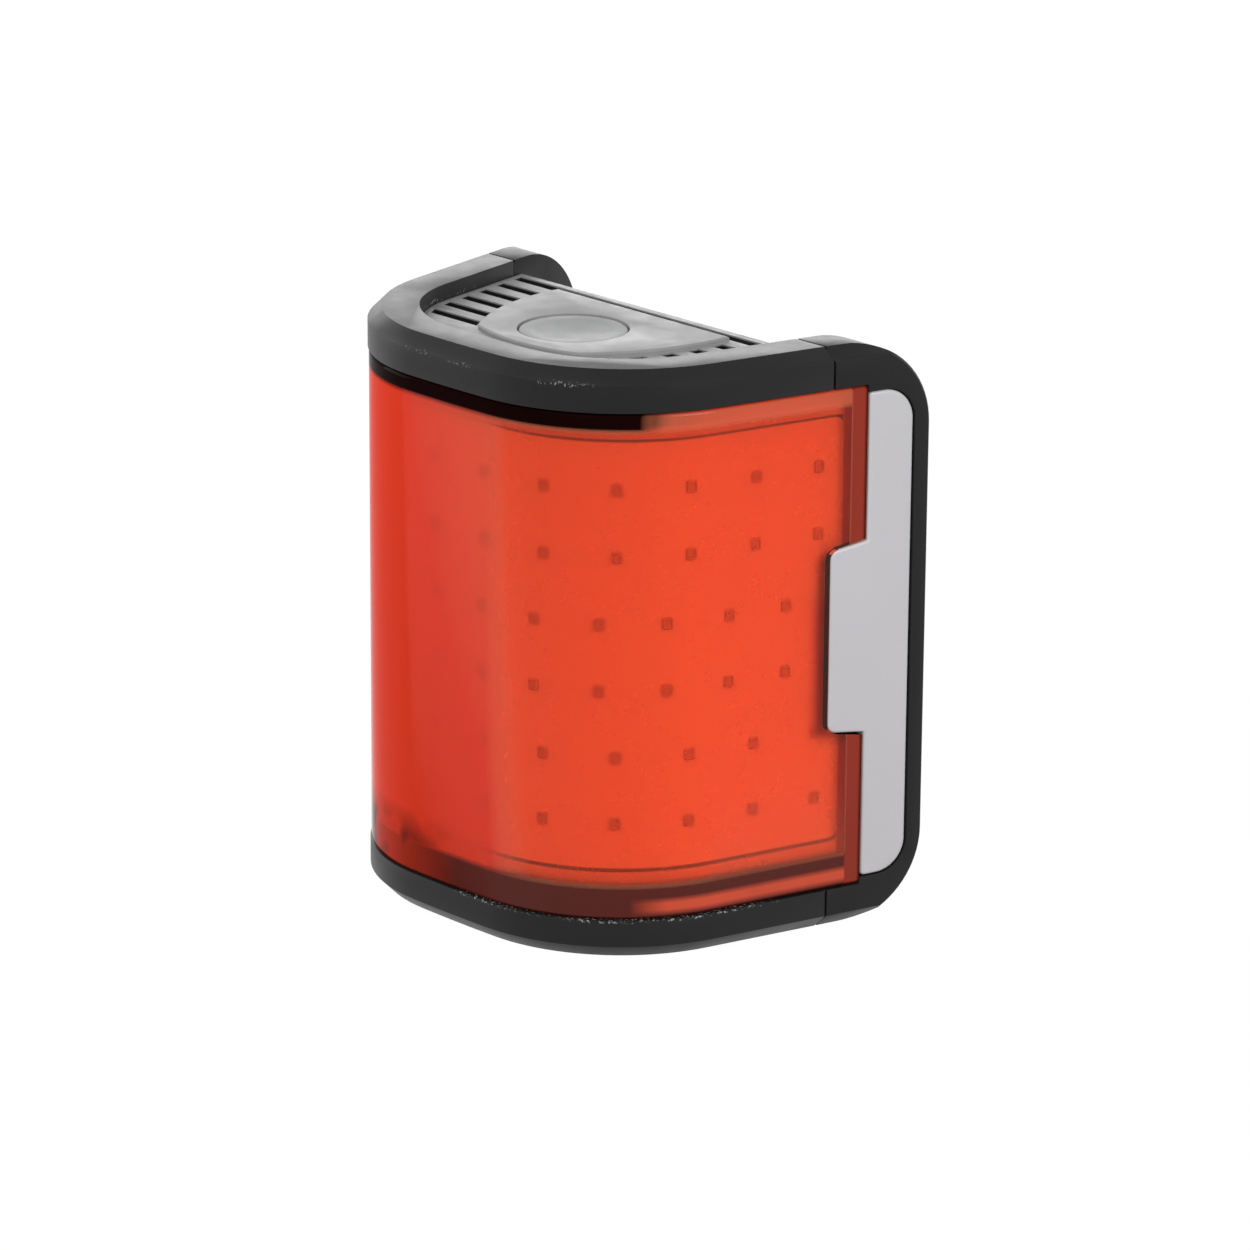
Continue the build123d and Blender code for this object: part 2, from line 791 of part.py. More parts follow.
def island_sketch():
    """Eye-shaped island of the top panel in plan."""
    rear = Vector(island_half_width, loop_y - island_rear_ahead)
    middle = Vector(island_middle_width, loop_y - island_middle_ahead)
    shoulder = Vector(island_front_half, loop_y - island_shoulder_ahead)
    nose = Vector(0, loop_y - island_nose_ahead)
    edges = [
        ThreePointArc(rear, middle, shoulder),
        ThreePointArc(shoulder, nose, mirrored(shoulder)),
        ThreePointArc(mirrored(shoulder), mirrored(middle), mirrored(rear)),
        Line(mirrored(rear), rear),
    ]
    face = Face(Wire(edges))
    return fillet(face.vertices().group_by(Axis.Y)[0], island_corner)


def slot_sketch():
    """Slots of the top panel in plan: one full slot at the rear and shorter ones each side of the island."""
    rows = Sketch()
    for row in range(slot_rows):
        ahead = slot_first_ahead + row * slot_pitch
        rows += Pos(0, loop_y - ahead) * Rectangle(far, slot_width)
    rows &= plan_face(rim_width + panel_gap + slot_end_margin, 0)
    return rows - offset(island_sketch(), amount=island_edge)


def post_places():
    """X and Y of the two posts that carry the small board."""
    return [(x, loop_y - post_ahead) for x in (-post_x, post_x)]


def top_panel():
    """Recessed slotted panel with the island, the button's collar and two board posts below."""
    panel = slab(rim_width + panel_gap, panel_rear_ahead, panel_under, panel_top)
    slots = extrude(slot_sketch(), amount=panel_thickness + 2 * overrun, dir=(0, 0, 1))
    panel -= Pos(0, 0, panel_under - overrun) * slots
    island = Pos(0, 0, panel_under) * extrude(island_sketch(), amount=island_top - panel_under, dir=(0, 0, 1))
    island = fillet(island.faces().sort_by(Axis.Z)[-1].edges(), island_edge)
    panel += island
    panel += upright(collar_outer, 0, button_y, membrane_top, panel_under)
    panel -= upright(collar_inner, 0, button_y, membrane_top - overrun, panel_under)
    panel -= upright(button_radius + button_gap, 0, button_y, panel_under - overrun, body_height)
    for x, y in post_places():
        panel += upright(post_radius, x, y, small_board_top, panel_under)
        panel -= upright(small_screw_radius, x, y, small_board_top - overrun, panel_under - touch_gap)
    return panel


def vent_mesh():
    """Fine mesh bonded under the slots, with room for the collar and the posts."""
    top = panel_under
    sheet = slab(inner_inset + ledge_width + panel_gap, wall_inner_ahead + panel_gap,
                 top - mesh_thickness, top)
    sheet -= upright(collar_outer + panel_gap, 0, button_y, top - overrun, top + overrun)
    for x, y in post_places():
        sheet -= upright(post_radius + panel_gap, x, y, top - overrun, top + overrun)
    return sheet


def power_button():
    """Round dished button with the flange that keeps it in and the stem that presses the membrane."""
    top = island_top - button_sink
    cap = upright(button_radius, 0, button_y, flange_bottom, top)
    cap = chamfer(cap.faces().sort_by(Axis.Z)[-1].edges(), button_gap)
    ball = (button_dish_radius ** 2 + button_dish ** 2) / (2 * button_dish)
    cap -= Pos(0, button_y, top - button_dish + ball) * Sphere(ball)
    flange = upright(flange_radius, 0, button_y, flange_bottom, flange_top)
    stem = upright(stem_radius, 0, button_y, stem_bottom, flange_bottom)
    return cap + flange + stem


def button_membrane():
    """Silicone disc under the collar with a small nub over the switch."""
    disc = upright(collar_outer, 0, button_y, membrane_bottom, membrane_top)
    return disc + upright(nub_radius, 0, button_y, nub_bottom, membrane_bottom)


def switch_board():
    """Small board under the top panel that carries the switch, the sounder and the motion sensor."""
    board = span(-small_board_half, small_board_half, small_board_rear_ahead, small_board_front_ahead,
                 small_board_bottom, small_board_top)
    board = fillet(board.edges().filter_by(Axis.Z), post_radius)
    for x, y in post_places():
        board -= upright(small_screw_radius + screw_slack, x, y, small_board_bottom - overrun,
                         small_board_top + overrun)
    return board


def tactile_switch():
    """Square tactile switch with a well for its plunger."""
    half = switch_side / 2
    body = span(-half, half, button_ahead - half, button_ahead + half, small_board_top, switch_top)
    body = chamfer(body.edges().filter_by(Axis.Z), switch_side / 12)
    well = upright(plunger_radius + plunger_clearance, 0, button_y, switch_top - switch_well,
                   switch_top + overrun)
    return body - well


def switch_plunger():
    """Plunger of the tactile switch."""
    low = switch_top - switch_well + button_travel + touch_gap
    return upright(plunger_radius, 0, button_y, low, plunger_top)


def buzzer():
    """Round sounder below the slots, with its sound port."""
    place = (-buzzer_x, loop_y - buzzer_ahead)
    can = upright(buzzer_radius, *place, small_board_top, small_board_top + buzzer_height)
    can = chamfer(can.faces().sort_by(Axis.Z)[-1].edges(), buzzer_port_radius / 2)
    return can - upright(buzzer_port_radius, *place, small_board_top + buzzer_height / 2, panel_under)


def motion_sensor():
    """Small motion sensor beside the switch."""
    half = sensor_side / 2
    return span(buzzer_x - half, buzzer_x + half, buzzer_ahead - half, buzzer_ahead + half,
                small_board_top, small_board_top + sensor_height)


def small_board_screws():
    """Two screws that hold the small board to the top panel."""
    parts = []
    for x, y in post_places():
        shank = upright(small_screw_radius, x, y, small_board_bottom, panel_under - 2 * mesh_thickness)
        head = upright(small_screw_head, x, y, small_board_bottom - small_screw_head_height,
                       small_board_bottom)
        parts.append(shank + chamfer(head.faces().sort_by(Axis.Z)[0].edges(), small_screw_head_height / 3))
    return Compound(children=parts)


def main_board_half():
    """Half width of the main board, as wide as the housing allows at its front face."""
    return side_x(inner_inset, main_board_front_ahead) - main_board_side_room


def main_board():
    """Control board on its four posts."""
    half = main_board_half()
    board = span(-half, half, main_board_ahead, main_board_front_ahead, main_board_low, main_board_high)
    board = fillet(board.edges().filter_by(Axis.Y), standoff_radius)
    return board - board_screw_holes(screw_radius + screw_slack)


def board_chip(side, z):
    """Square chip on the rear face of the main board."""
    half = side / 2
    chip = span(-half, half, main_board_ahead - chip_thickness, main_board_ahead, z - half, z + half)
    return chamfer(chip.edges().filter_by(Axis.Y), side / 12)


def usb_socket():
    """Upright charging socket: pressed shell with its contact tongue."""
    shell = rear_block(port_sketch(socket_width, socket_height), wall_inner_ahead + touch_gap,
                       main_board_ahead)
    cavity = port_sketch(socket_width - 2 * socket_wall, socket_height - 2 * socket_wall)
    shell -= rear_block(cavity, wall_inner_ahead - overrun, main_board_ahead - 3 * socket_wall)
    tongue = Pos(0, socket_z) * Rectangle(socket_tongue_width, socket_tongue_height)
    return shell + rear_block(tongue, wall_inner_ahead + 3 * socket_wall, main_board_ahead)


def battery():
    """Flat cell with rounded edges."""
    cell = span(-battery_half, battery_half, battery_rear_ahead, battery_front_ahead,
                battery_low, battery_high)
    return fillet(cell.edges().filter_by(Axis.Z), battery_corner)


def battery_pad():
    """Foam pad between the battery and the main board."""
    half = battery_half - pad_margin
    return span(-half, half, main_board_front_ahead, battery_rear_ahead,
                battery_low + pad_margin, battery_high - pad_margin)


def screw(radius, head_radius, head_height, length):
    """Screw pointing along +Z from the underside of its head, with a cross recess."""
    shank = Pos(0, 0, length / 2) * Cylinder(radius, length)
    shank = chamfer(shank.faces().sort_by(Axis.Z)[-1].edges(), radius / 3)
    head = Pos(0, 0, -head_height / 2) * Cylinder(head_radius, head_height)
    head = chamfer(head.faces().sort_by(Axis.Z)[0].edges(), head_height / 3)
    arm = Box(head_radius, radius / 2, head_height)
    recess = Pos(0, 0, -head_height) * (arm + Rot(0, 0, 90) * arm)
    return shank + head - recess


def housing_screws():
    """Four screws through the rear wall into the front moulding."""
    seat = loop_y - panel_rear_ahead - screw_head_height
    body = screw(screw_radius, screw_head_radius, screw_head_height, housing_screw_length - screw_head_height)
    return Compound(children=[Pos(x, seat, z) * Rot(90, 0, 0) * body for x, z in housing_screw_places()])


def board_screws():
    """Four screws through the main board into its posts."""
    seat = loop_y - main_board_front_ahead
    body = screw(screw_radius, screw_head_radius, screw_head_height, board_screw_length)
    return Compound(children=[Pos(x, seat, z) * Rot(-90, 0, 0) * body for x, z in standoff_places()])


pieces = {
    "front_frame": front_frame(),
    "rear_housing": rear_housing(),
    "lens": lens(),
    "lens_gasket": lens_gasket(),
    "led_carrier": led_carrier(),
    "led_board": led_board(),
    "leds": leds(),
    "side_trim_right": side_trim(),
    "side_trim_left": mirror(side_trim(), about=Plane.YZ),
    "top_panel": top_panel(),
    "vent_mesh": vent_mesh(),
    "power_button": power_button(),
    "button_membrane": button_membrane(),
    "switch_board": switch_board(),
    "tactile_switch": tactile_switch(),
    "switch_plunger": switch_plunger(),
    "buzzer": buzzer(),
    "motion_sensor": motion_sensor(),
    "small_board_screws": small_board_screws(),
    "main_board": main_board(),
    "control_chip": board_chip(control_chip_side, main_board_high - control_chip_drop),
    "charge_chip": board_chip(charge_chip_side, main_board_low + charge_chip_rise),
    "usb_socket": usb_socket(),
    "battery": battery(),
    "battery_pad": battery_pad(),
    "port_door": port_door(),
    "port_seal": port_seal(),
    "hinge_pin": hinge_pin(),
    "saddle_pad": saddle_pad(),
    "housing_screws": housing_screws(),
    "board_screws": board_screws(),
}

os.makedirs("parts", exist_ok=True)
for name, piece in pieces.items():
    export_step(piece, f"parts/{name}.step")
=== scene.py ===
"""A compact bicycle tail light with a wrap-round red lens, dressed over its fixed frame.

Sizes are in millimetres and are turned into metres as a mesh is made. The light stands on the floor at z 0,
its lens faces -Y and its seat-post saddle faces +Y. "Ahead" is a distance forwards from the rear plane of the
two side loops, and "inset" is a distance inwards from the outer side surface.
"""

import logging
import math
from dataclasses import dataclass, field
from enum import Enum
from functools import cached_property
from typing import Sequence

import bmesh
import bpy
from mathutils import Matrix, Vector


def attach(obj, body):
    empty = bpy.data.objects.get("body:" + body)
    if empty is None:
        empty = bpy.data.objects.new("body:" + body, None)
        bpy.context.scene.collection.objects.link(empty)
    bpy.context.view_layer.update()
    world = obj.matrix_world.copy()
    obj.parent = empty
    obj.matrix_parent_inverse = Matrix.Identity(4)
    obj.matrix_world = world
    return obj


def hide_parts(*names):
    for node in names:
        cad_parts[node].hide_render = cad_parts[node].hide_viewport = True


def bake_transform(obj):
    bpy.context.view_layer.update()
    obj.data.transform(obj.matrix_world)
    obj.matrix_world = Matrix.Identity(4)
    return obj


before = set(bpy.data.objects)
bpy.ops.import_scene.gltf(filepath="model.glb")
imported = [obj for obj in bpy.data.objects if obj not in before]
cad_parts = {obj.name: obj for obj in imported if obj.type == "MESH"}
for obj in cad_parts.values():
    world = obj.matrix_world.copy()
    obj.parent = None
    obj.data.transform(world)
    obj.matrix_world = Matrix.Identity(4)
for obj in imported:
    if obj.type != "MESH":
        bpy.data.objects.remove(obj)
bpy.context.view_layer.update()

MM = 0.001
QUARTER = math.pi / 2
MIDDLE = 27.5
PANEL_TOP = 53.5
WELD_METRES = 2e-6
FLAT_DEGREES = 0.25
ROUND_STEPS = 2
INNER_FACE = "inner_face"
POCKET_WALL = "pocket_wall"
LOG = logging.getLogger("tail_light")
Socket = bpy.types.NodeSocket
Colour = tuple[float, float, float]
Plan = tuple[float, float]
Span = tuple[float, float]


class Body(Enum):
    """The bodies that move on their own."""

    LIGHT = "light"
    BUTTON = "button"
    DOOR = "door"


class Slot(Enum):
    """The finishes, each with a name."""

    SHELL = "black_shell"
    LENS = "red_lens"
    RUBBER = "black_rubber"
    TRAY = "white_tray"
    BOARD_WHITE = "white_board"
    DIODE = "diode"
    TRIM = "pale_trim"
    PANEL = "grey_panel"
    BUTTON = "grey_button"
    MESH = "black_mesh"
    BOARD_GREEN = "green_board"
    CHIP = "black_chip"
    STEEL = "bare_steel"
    CELL = "cell_foil"
    FOAM = "foam"


# Plan of the body


def arc(centre: Sequence[float], radius: float, start: float, end: float, steps: int,
        rise: float | None = None) -> list[Plan]:
    """Points along an arc, both ends counted.

    Args:
        centre: Its centre.
        radius: Its radius.
        start: Angle of the first point, in radians.
        end: Angle of the last point.
        steps: Steps from the first to the last.
        rise: Second radius, where it isn't round.

    Returns:
        The points.
    """
    rise = radius if rise is None else rise
    turns = [start + (end - start) * step / steps for step in range(steps + 1)]
    return [(centre[0] + radius * math.cos(turn), centre[1] + rise * math.sin(turn)) for turn in turns]


@dataclass(frozen=True)
class PlanOutline:
    """Plan of the body: leaning side lines, two corner arcs and a shallow nose arc that touch smoothly."""

    width: float = 52.1
    depth: float = 35.3
    nose_radius: float = 160.0
    corner_radius: float = 17.0
    lean: float = math.radians(12.5)
    loop_y: float = 15.338
    side_steps: int = 10
    corner_steps: int = 36
    nose_steps: int = 28

    def inward(self) -> Vector:
        """Direction from the right side into the body."""
        return Vector((-math.cos(self.lean), math.sin(self.lean)))

    def nose_centre(self) -> Vector:
        """Centre of the nose arc."""
        return Vector((0.0, self.loop_y - self.depth + self.nose_radius))

    def corner_centre(self) -> Vector:
        """Centre of the right corner arc.

        Returns:
            Its plan point.
        """
        forward = Vector((-math.sin(self.lean), -math.cos(self.lean)))
        side = Vector((self.width / 2, self.loop_y))
        start = side + self.inward() * self.corner_radius - self.nose_centre()
        along = start.dot(forward)
        gap = self.nose_radius - self.corner_radius
        run = math.sqrt(along * along - start.dot(start) + gap * gap) - along
        return self.nose_centre() + start + forward * run

    def side_x(self, inset: float, ahead: float) -> float:
        """Half width at a distance ahead of the loops."""
        return self.width / 2 - inset / math.cos(self.lean) - ahead * math.tan(self.lean)

    def stations(self, inset: float, rear: float) -> list[Plan]:
        """Points along the outline, from the right rear round the nose to the left rear.

        Args:
            inset: Distance inwards.
            rear: How far ahead of the loops the ends lie.

        Returns:
            Plan points, the same number for every inset.
        """
        corner, nose = self.corner_centre(), self.nose_centre()
        corner_reach, nose_reach = self.corner_radius - inset, self.nose_radius - inset
        side_end = self.loop_y - (corner - self.inward() * corner_reach).y
        side = [rear + (side_end - rear) * step / self.side_steps for step in range(self.side_steps)]
        tangent = (corner - nose).normalized()
        first = math.atan2(-self.inward().y, -self.inward().x)
        last = math.atan2(tangent.y, tangent.x)
        half = [(self.side_x(inset, ahead), self.loop_y - ahead) for ahead in side]
        half += arc(corner, corner_reach, first, last, self.corner_steps)[:-1]
        half += arc(nose, nose_reach, last, -QUARTER, self.nose_steps)[:-1]
        return half + [(0.0, nose.y - nose_reach)] + [(-x, y) for x, y in reversed(half)]


OUTLINE = PlanOutline()


# Node trees


class NodeKit:
    """Short calls that build the nodes of one tree."""

    def __init__(self, tree: bpy.types.NodeTree) -> None:
        """Starts on a tree.

        Args:
            tree: The tree.
        """
        self.tree = tree
        self.nodes = tree.nodes
        self.links = tree.links

    def add(self, kind: str, inputs: dict | None = None, **settings: object) -> bpy.types.Node:
        """Adds a node.

        Args:
            kind: The node's type name, for shading and arithmetic without its common prefix.
            inputs: Values or outputs for its sockets, by name or number.
            **settings: Properties of the node.

        Returns:
            The new node.
        """
        node = self.nodes.new(kind if "Node" in kind else "ShaderNode" + kind)
        for key, value in settings.items():
            setattr(node, key, value)
        for key, value in (inputs or {}).items():
            if isinstance(value, Socket):
                self.links.new(value, node.inputs[key])
            else:
                node.inputs[key].default_value = value
        return node

    def calc(self, operation: str, first: Socket | float, second: Socket | float = 0.0) -> Socket:
        """One step of arithmetic."""
        return self.add("Math", {0: first, 1: second}, operation=operation).outputs[0]

    def product(self, first: Socket, second: Socket | float) -> Socket:
        """The product of two values."""
        return self.calc("MULTIPLY", first, second)

    def most(self, first: Socket, *others: Socket) -> Socket:
        """The greatest of some values.

        Args:
            first: One value.
            *others: The rest.

        Returns:
            The greatest.
        """
        for other in others:
            first = self.calc("MAXIMUM", first, other)
        return first


class Graph(NodeKit):
    """The nodes of one material, on the piece's own coordinates."""

    def __init__(self, name: str) -> None:
        """Starts an empty material.

        Args:
            name: The finish in plain words.
        """
        self.material = bpy.data.materials.new(name)
        self.material.use_nodes = True
        super().__init__(self.material.node_tree)
        self.nodes.clear()
        self.where = self.add("TexCoord").outputs["Object"]

    @cached_property
    def place(self) -> bpy.types.NodeOutputs:
        """The piece's coordinates as three numbers."""
        return self.add("SeparateXYZ", {0: self.where}).outputs

    def marked(self, attribute: str) -> Socket:
        """A mark on the piece's faces."""
        return self.add("Attribute", attribute_name=attribute).outputs["Fac"]

    def stretched(self, scale: tuple[float, float, float]) -> Socket:
        """Coordinates of the piece, stretched along its axes."""
        return self.add("Mapping", {"Vector": self.where, "Scale": scale}).outputs["Vector"]

    def noise(self, per_metre: float, detail: float = 3.0, roughness: float = 0.55,
              vector: Socket | None = None) -> Socket:
        """Smooth noise on the piece's own coordinates.

        Args:
            per_metre: How fine it is.
            detail: Octaves.
            roughness: Weight of the finer octaves.
            vector: Other coordinates, if any.

        Returns:
            Its value, from 0 to 1.
        """
        node = self.add("TexNoise", {"Vector": vector or self.where, "Scale": per_metre, "Detail": detail,
                                     "Roughness": roughness})
        return node.outputs["Fac"]

    def spread(self, value: Socket, low: float, high: float, start: float = 0.3, end: float = 0.7) -> Socket:
        """Maps a value between start and end to a range, clamped."""
        limits = {"From Min": start, "From Max": end, "To Min": low, "To Max": high}
        return self.add("MapRange", {"Value": value, **limits}).outputs["Result"]

    def ramp(self, length: Socket, limits: Span, rising: bool = True) -> Socket:
        """A share that changes along a stretch of the piece.

        Args:
            length: A length in metres.
            limits: The stretch in millimetres.
            rising: Whether the share is 1 past the far end, and not before the near one.

        Returns:
            The share.
        """
        first, last = (0.0, 1.0) if rising else (1.0, 0.0)
        return self.spread(length, first, last, limits[0] * MM, limits[1] * MM)

    def rearward(self, limits: Span, rising: bool = True) -> Socket:
        """A share by distance ahead of the loops: 1 at the rear, or at the front where it isn't rising."""
        return self.ramp(self.place["Y"], (OUTLINE.loop_y - limits[1], OUTLINE.loop_y - limits[0]), rising)

    def away(self, length: Socket, level: float) -> Socket:
        """How far a length in metres is from a level in millimetres."""
        return self.calc("ABSOLUTE", self.calc("SUBTRACT", length, level * MM))

    def over(self, share: Socket, below: Socket | Colour, above: Colour) -> Socket:
        """A colour laid over another by a share."""
        base = below if isinstance(below, Socket) else (*below, 1)
        return self.add("Mix", {"Factor": share, 6: base, 7: (*above, 1)}, data_type="RGBA").outputs[2]

    def bump(self, height: Socket, depth: float, strength: float, normal: Socket | None = None) -> Socket:
        """A normal raised by a height.

        Args:
            height: The height, from 0 to 1.
            depth: Depth of the relief in millimetres.
            strength: How much of it shows.
            normal: A normal to build on.

        Returns:
            The new normal.
        """
        inputs = {"Height": height, "Distance": depth * MM, "Strength": strength}
        if normal:
            inputs["Normal"] = normal
        return self.add("Bump", inputs).outputs["Normal"]

    def surface(self, **inputs: object) -> bpy.types.Node:
        """The main shader, with spaces in its socket names written as underscores."""
        return self.add("BsdfPrincipled", {key.replace("_", " "): value for key, value in inputs.items()})

    def finish(self, shader: bpy.types.Node) -> bpy.types.Material:
        """Closes the material with its output."""
        self.add("OutputMaterial", {"Surface": shader.outputs[0]})
        return self.material


class CopyTree(NodeKit):
    """A geometry tree with named inputs that sets out copies of one shape."""

    def __init__(self, name: str, inputs: dict[str, str]) -> None:
        """Starts a tree.

        Args:
            name: What it sets out.
            inputs: Its own inputs, each with the kind of its socket.
        """
        super().__init__(bpy.data.node_groups.new(name, "GeometryNodeTree"))
        sockets = {"Geometry": "Geometry", **inputs, "Shape": "Object", "Finish": "Material"}
        for label, kind in sockets.items():
            self.tree.interface.new_socket(label, in_out="INPUT", socket_type="NodeSocket" + kind)
        self.tree.interface.new_socket("Geometry", in_out="OUTPUT", socket_type="NodeSocketGeometry")
        self.given = self.add("NodeGroupInput").outputs

    def number(self) -> Socket:
        """The number of each point."""
        return self.add("GeometryNodeInputIndex").outputs[0]

    def sum(self, first: Socket, second: Socket) -> Socket:
        """The sum of two vectors."""
        return self.add("VectorMath", {0: first, 1: second}, operation="ADD").outputs[0]

    def points(self, count: Socket, place: Socket) -> Socket:
        """A number of points, each at its place."""
        made = self.add("GeometryNodePoints", {"Count": count}).outputs[0]
        return self.add("GeometryNodeSetPosition", {"Geometry": made, "Position": place}).outputs[0]

    def close(self, points: Socket, turn: Socket) -> bpy.types.NodeTree:
        """Sets the copies on points and ends the tree in real faces with their finish.

        Args:
            points: Where the copies stand.
            turn: How each one is turned.

        Returns:
            The node tree.
        """
        shape = self.add("GeometryNodeObjectInfo", {"Object": self.given["Shape"]}).outputs["Geometry"]
        copies = self.add("GeometryNodeInstanceOnPoints",
                          {"Points": points, "Instance": shape, "Rotation": turn})
        real = self.add("GeometryNodeRealizeInstances", {"Geometry": copies.outputs[0]})
        coat = self.add("GeometryNodeSetMaterial",
                        {"Geometry": real.outputs[0], "Material": self.given["Finish"]})
        self.add("NodeGroupOutput", {"Geometry": coat.outputs[0]})
        return self.tree


# Finishes


@dataclass(frozen=True)
class MouldedPlastic:
    """Moulded plastic with a fine spark-eroded grain, faint flow patches and, where asked, light specks along
    edges that are wear and partly a painted highlight.
    """

    name: str
    colour: Colour
    handled: Colour
    roughness: float = 0.45
    roughness_spread: float = 0.08
    specular: float = 0.5
    patches_per_metre: float = 85.0
    patch_share: float = 0.35
    sheen_per_metre: float = 420.0
    grain_per_metre: float = 5200.0
    grain_depth: float = 0.012
    wave_per_metre: float = 38.0
    wave_depth: float = 0.03
    wear_and_highlight_heights: tuple[float, ...] = ()
    wear_and_highlight_colour: Colour = (0.55, 0.55, 0.55)
    wear_and_highlight_ahead: Span = (15.0, 18.0)
    wear_and_highlight_reach: Span = (0.06, 0.28)
    specks_per_metre: float = 3200.0
    stretches_per_metre: float = 70.0
    coat_above: float | None = None
    coat_edge: float = 0.04
    core: Colour = (0.008, 0.008, 0.0085)

    def wear_and_highlight(self, g: Graph) -> Socket:
        """Small light specks in a narrow line at each given height, round the front: rubbed wear, and partly
        a painted highlight along the edge.

        Args:
            g: The material's graph.

        Returns:
            Their share.
        """
        line = g.most(*(g.ramp(g.away(g.place["Z"], level), self.wear_and_highlight_reach, False)
                        for level in self.wear_and_highlight_heights))
        specks = g.spread(g.noise(self.specks_per_metre, 3.0, 0.7), 0.0, 1.0, 0.56, 0.64)
        stretches = g.spread(g.noise(self.stretches_per_metre, 2.0), 0.0, 1.0, 0.52, 0.62)
        return g.product(g.product(line, specks), g.product(stretches, g.rearward(self.wear_and_highlight_ahead, False)))

    def build(self) -> bpy.types.Material:
        """Builds the material.

        Returns:
            The material.
        """
        g = Graph(self.name)
        patches = g.spread(g.noise(self.patches_per_metre, 4.0), 0.0, self.patch_share)
        colour = g.over(patches, self.colour, self.handled)
        if self.wear_and_highlight_heights:
            colour = g.over(self.wear_and_highlight(g), colour, self.wear_and_highlight_colour)
        if self.coat_above is not None:
            bare = g.ramp(g.place["Z"], (self.coat_above - self.coat_edge, self.coat_above), False)
            colour = g.over(bare, colour, self.core)
        rough = g.spread(g.noise(self.sheen_per_metre), self.roughness - self.roughness_spread,
                         self.roughness + self.roughness_spread)
        normal = g.bump(g.noise(self.grain_per_metre, 2.0), self.grain_depth, 0.6)
        normal = g.bump(g.noise(self.wave_per_metre, 1.0), self.wave_depth, 0.35, normal)
        return g.finish(g.surface(Base_Color=colour, Roughness=rough, Normal=normal,
                                  Specular_IOR_Level=self.specular))


@dataclass(frozen=True)
class LensMarks:
    """Where the lens isn't plainly clear: painted shade at its ends, under the top rim and beside its tabs,
    painted highlight streaks along its edges on the right, and a painted shaded band with dark red blots
    along its lower edge.
    """

    # How far ahead the ends get their painted shade: an opaque medium red for the shaded tray seen through
    # them.
    weld: Span = (8.1, 8.3)
    end_shade: Span = (6.6, 6.95)
    crescent: Span = (49.3, 49.8)
    crescent_end: Span = (18.0, 19.2)
    glint_height: float = 5.0
    glint_half: Span = (0.3, 0.85)
    glint_start: Span = (17.6, 19.6)
    glint_per_metre: float = 120.0
    top_glint: float = 0.7
    # The painted shade of a dark band along the lower edge, weaker towards the left.
    low_band: Span = (6.7, 7.3)
    low_band_left: Span = (-9.0, 1.0)
    low_band_least: float = 0.45
    # Heights, right limit, rear limit and fineness of the dark red blots on the lower left.
    low_dark: Span = (7.2, 10.0)
    blots_end: Span = (-8.0, 4.0)
    blots_ahead: Span = (29.0, 32.0)
    blots_per_metre: float = 210.0
    deep: Span = (0.22, 0.43)
    deep_tone: Span = (0.22, 0.37)
    tab_ahead: Span = (10.7, 11.6)
    tab_low: Span = (18.4, 19.0)
    tab_high: Span = (30.5, 32.5)

    def strips(self, g: Graph) -> Socket:
        """The strip that each tab shades."""
        heights = g.product(g.ramp(g.place["Z"], self.tab_low), g.ramp(g.place["Z"], self.tab_high, False))
        return g.product(g.rearward(self.tab_ahead), heights)

    def shade(self, g: Graph) -> Socket:
        """The painted shade of the seat: the very ends, the tabs' pockets and a crescent under the top rim on
        the left.

        Args:
            g: The material's graph.

        Returns:
            Its share.
        """
        under_rim = g.ramp(g.place["Z"], self.crescent)
        crescent = g.product(under_rim, g.ramp(g.place["X"], self.crescent_end, False))
        return g.most(g.rearward(self.end_shade), g.marked(POCKET_WALL), crescent)

    def glint(self, g: Graph) -> Socket:
        """The painted highlight: bright streaks along both edges, on the right.

        Args:
            g: The material's graph.

        Returns:
            Their share.
        """
        lower = g.ramp(g.away(g.place["Z"], self.glint_height), self.glint_half, False)
        upper = g.product(g.ramp(g.place["Z"], self.crescent), self.top_glint)
        streaks = g.product(g.most(lower, upper), g.ramp(g.place["X"], self.glint_start))
        return g.product(streaks, g.spread(g.noise(self.glint_per_metre, 2.0), 0.8, 1.0))

    def low_shade_and_blots(self, g: Graph) -> Socket:
        """The painted shade of a dark band along the lower edge, and dark red blots on the lower left.

        Args:
            g: The material's graph.

        Returns:
            Their share.
        """
        low = g.product(g.ramp(g.place["Z"], self.low_dark, False), g.rearward(self.blots_ahead, False))
        left = g.product(low, g.ramp(g.place["X"], self.blots_end, False))
        blots = g.product(left, g.spread(g.noise(self.blots_per_metre, 1.5), 0.25, 1.0, 0.42, 0.58))
        start, end = (limit * MM for limit in self.low_band_left)
        fading = g.spread(g.place["X"], self.low_band_least, 1.0, start, end)
        return g.most(blots, g.product(g.ramp(g.place["Z"], self.low_band, False), fading))


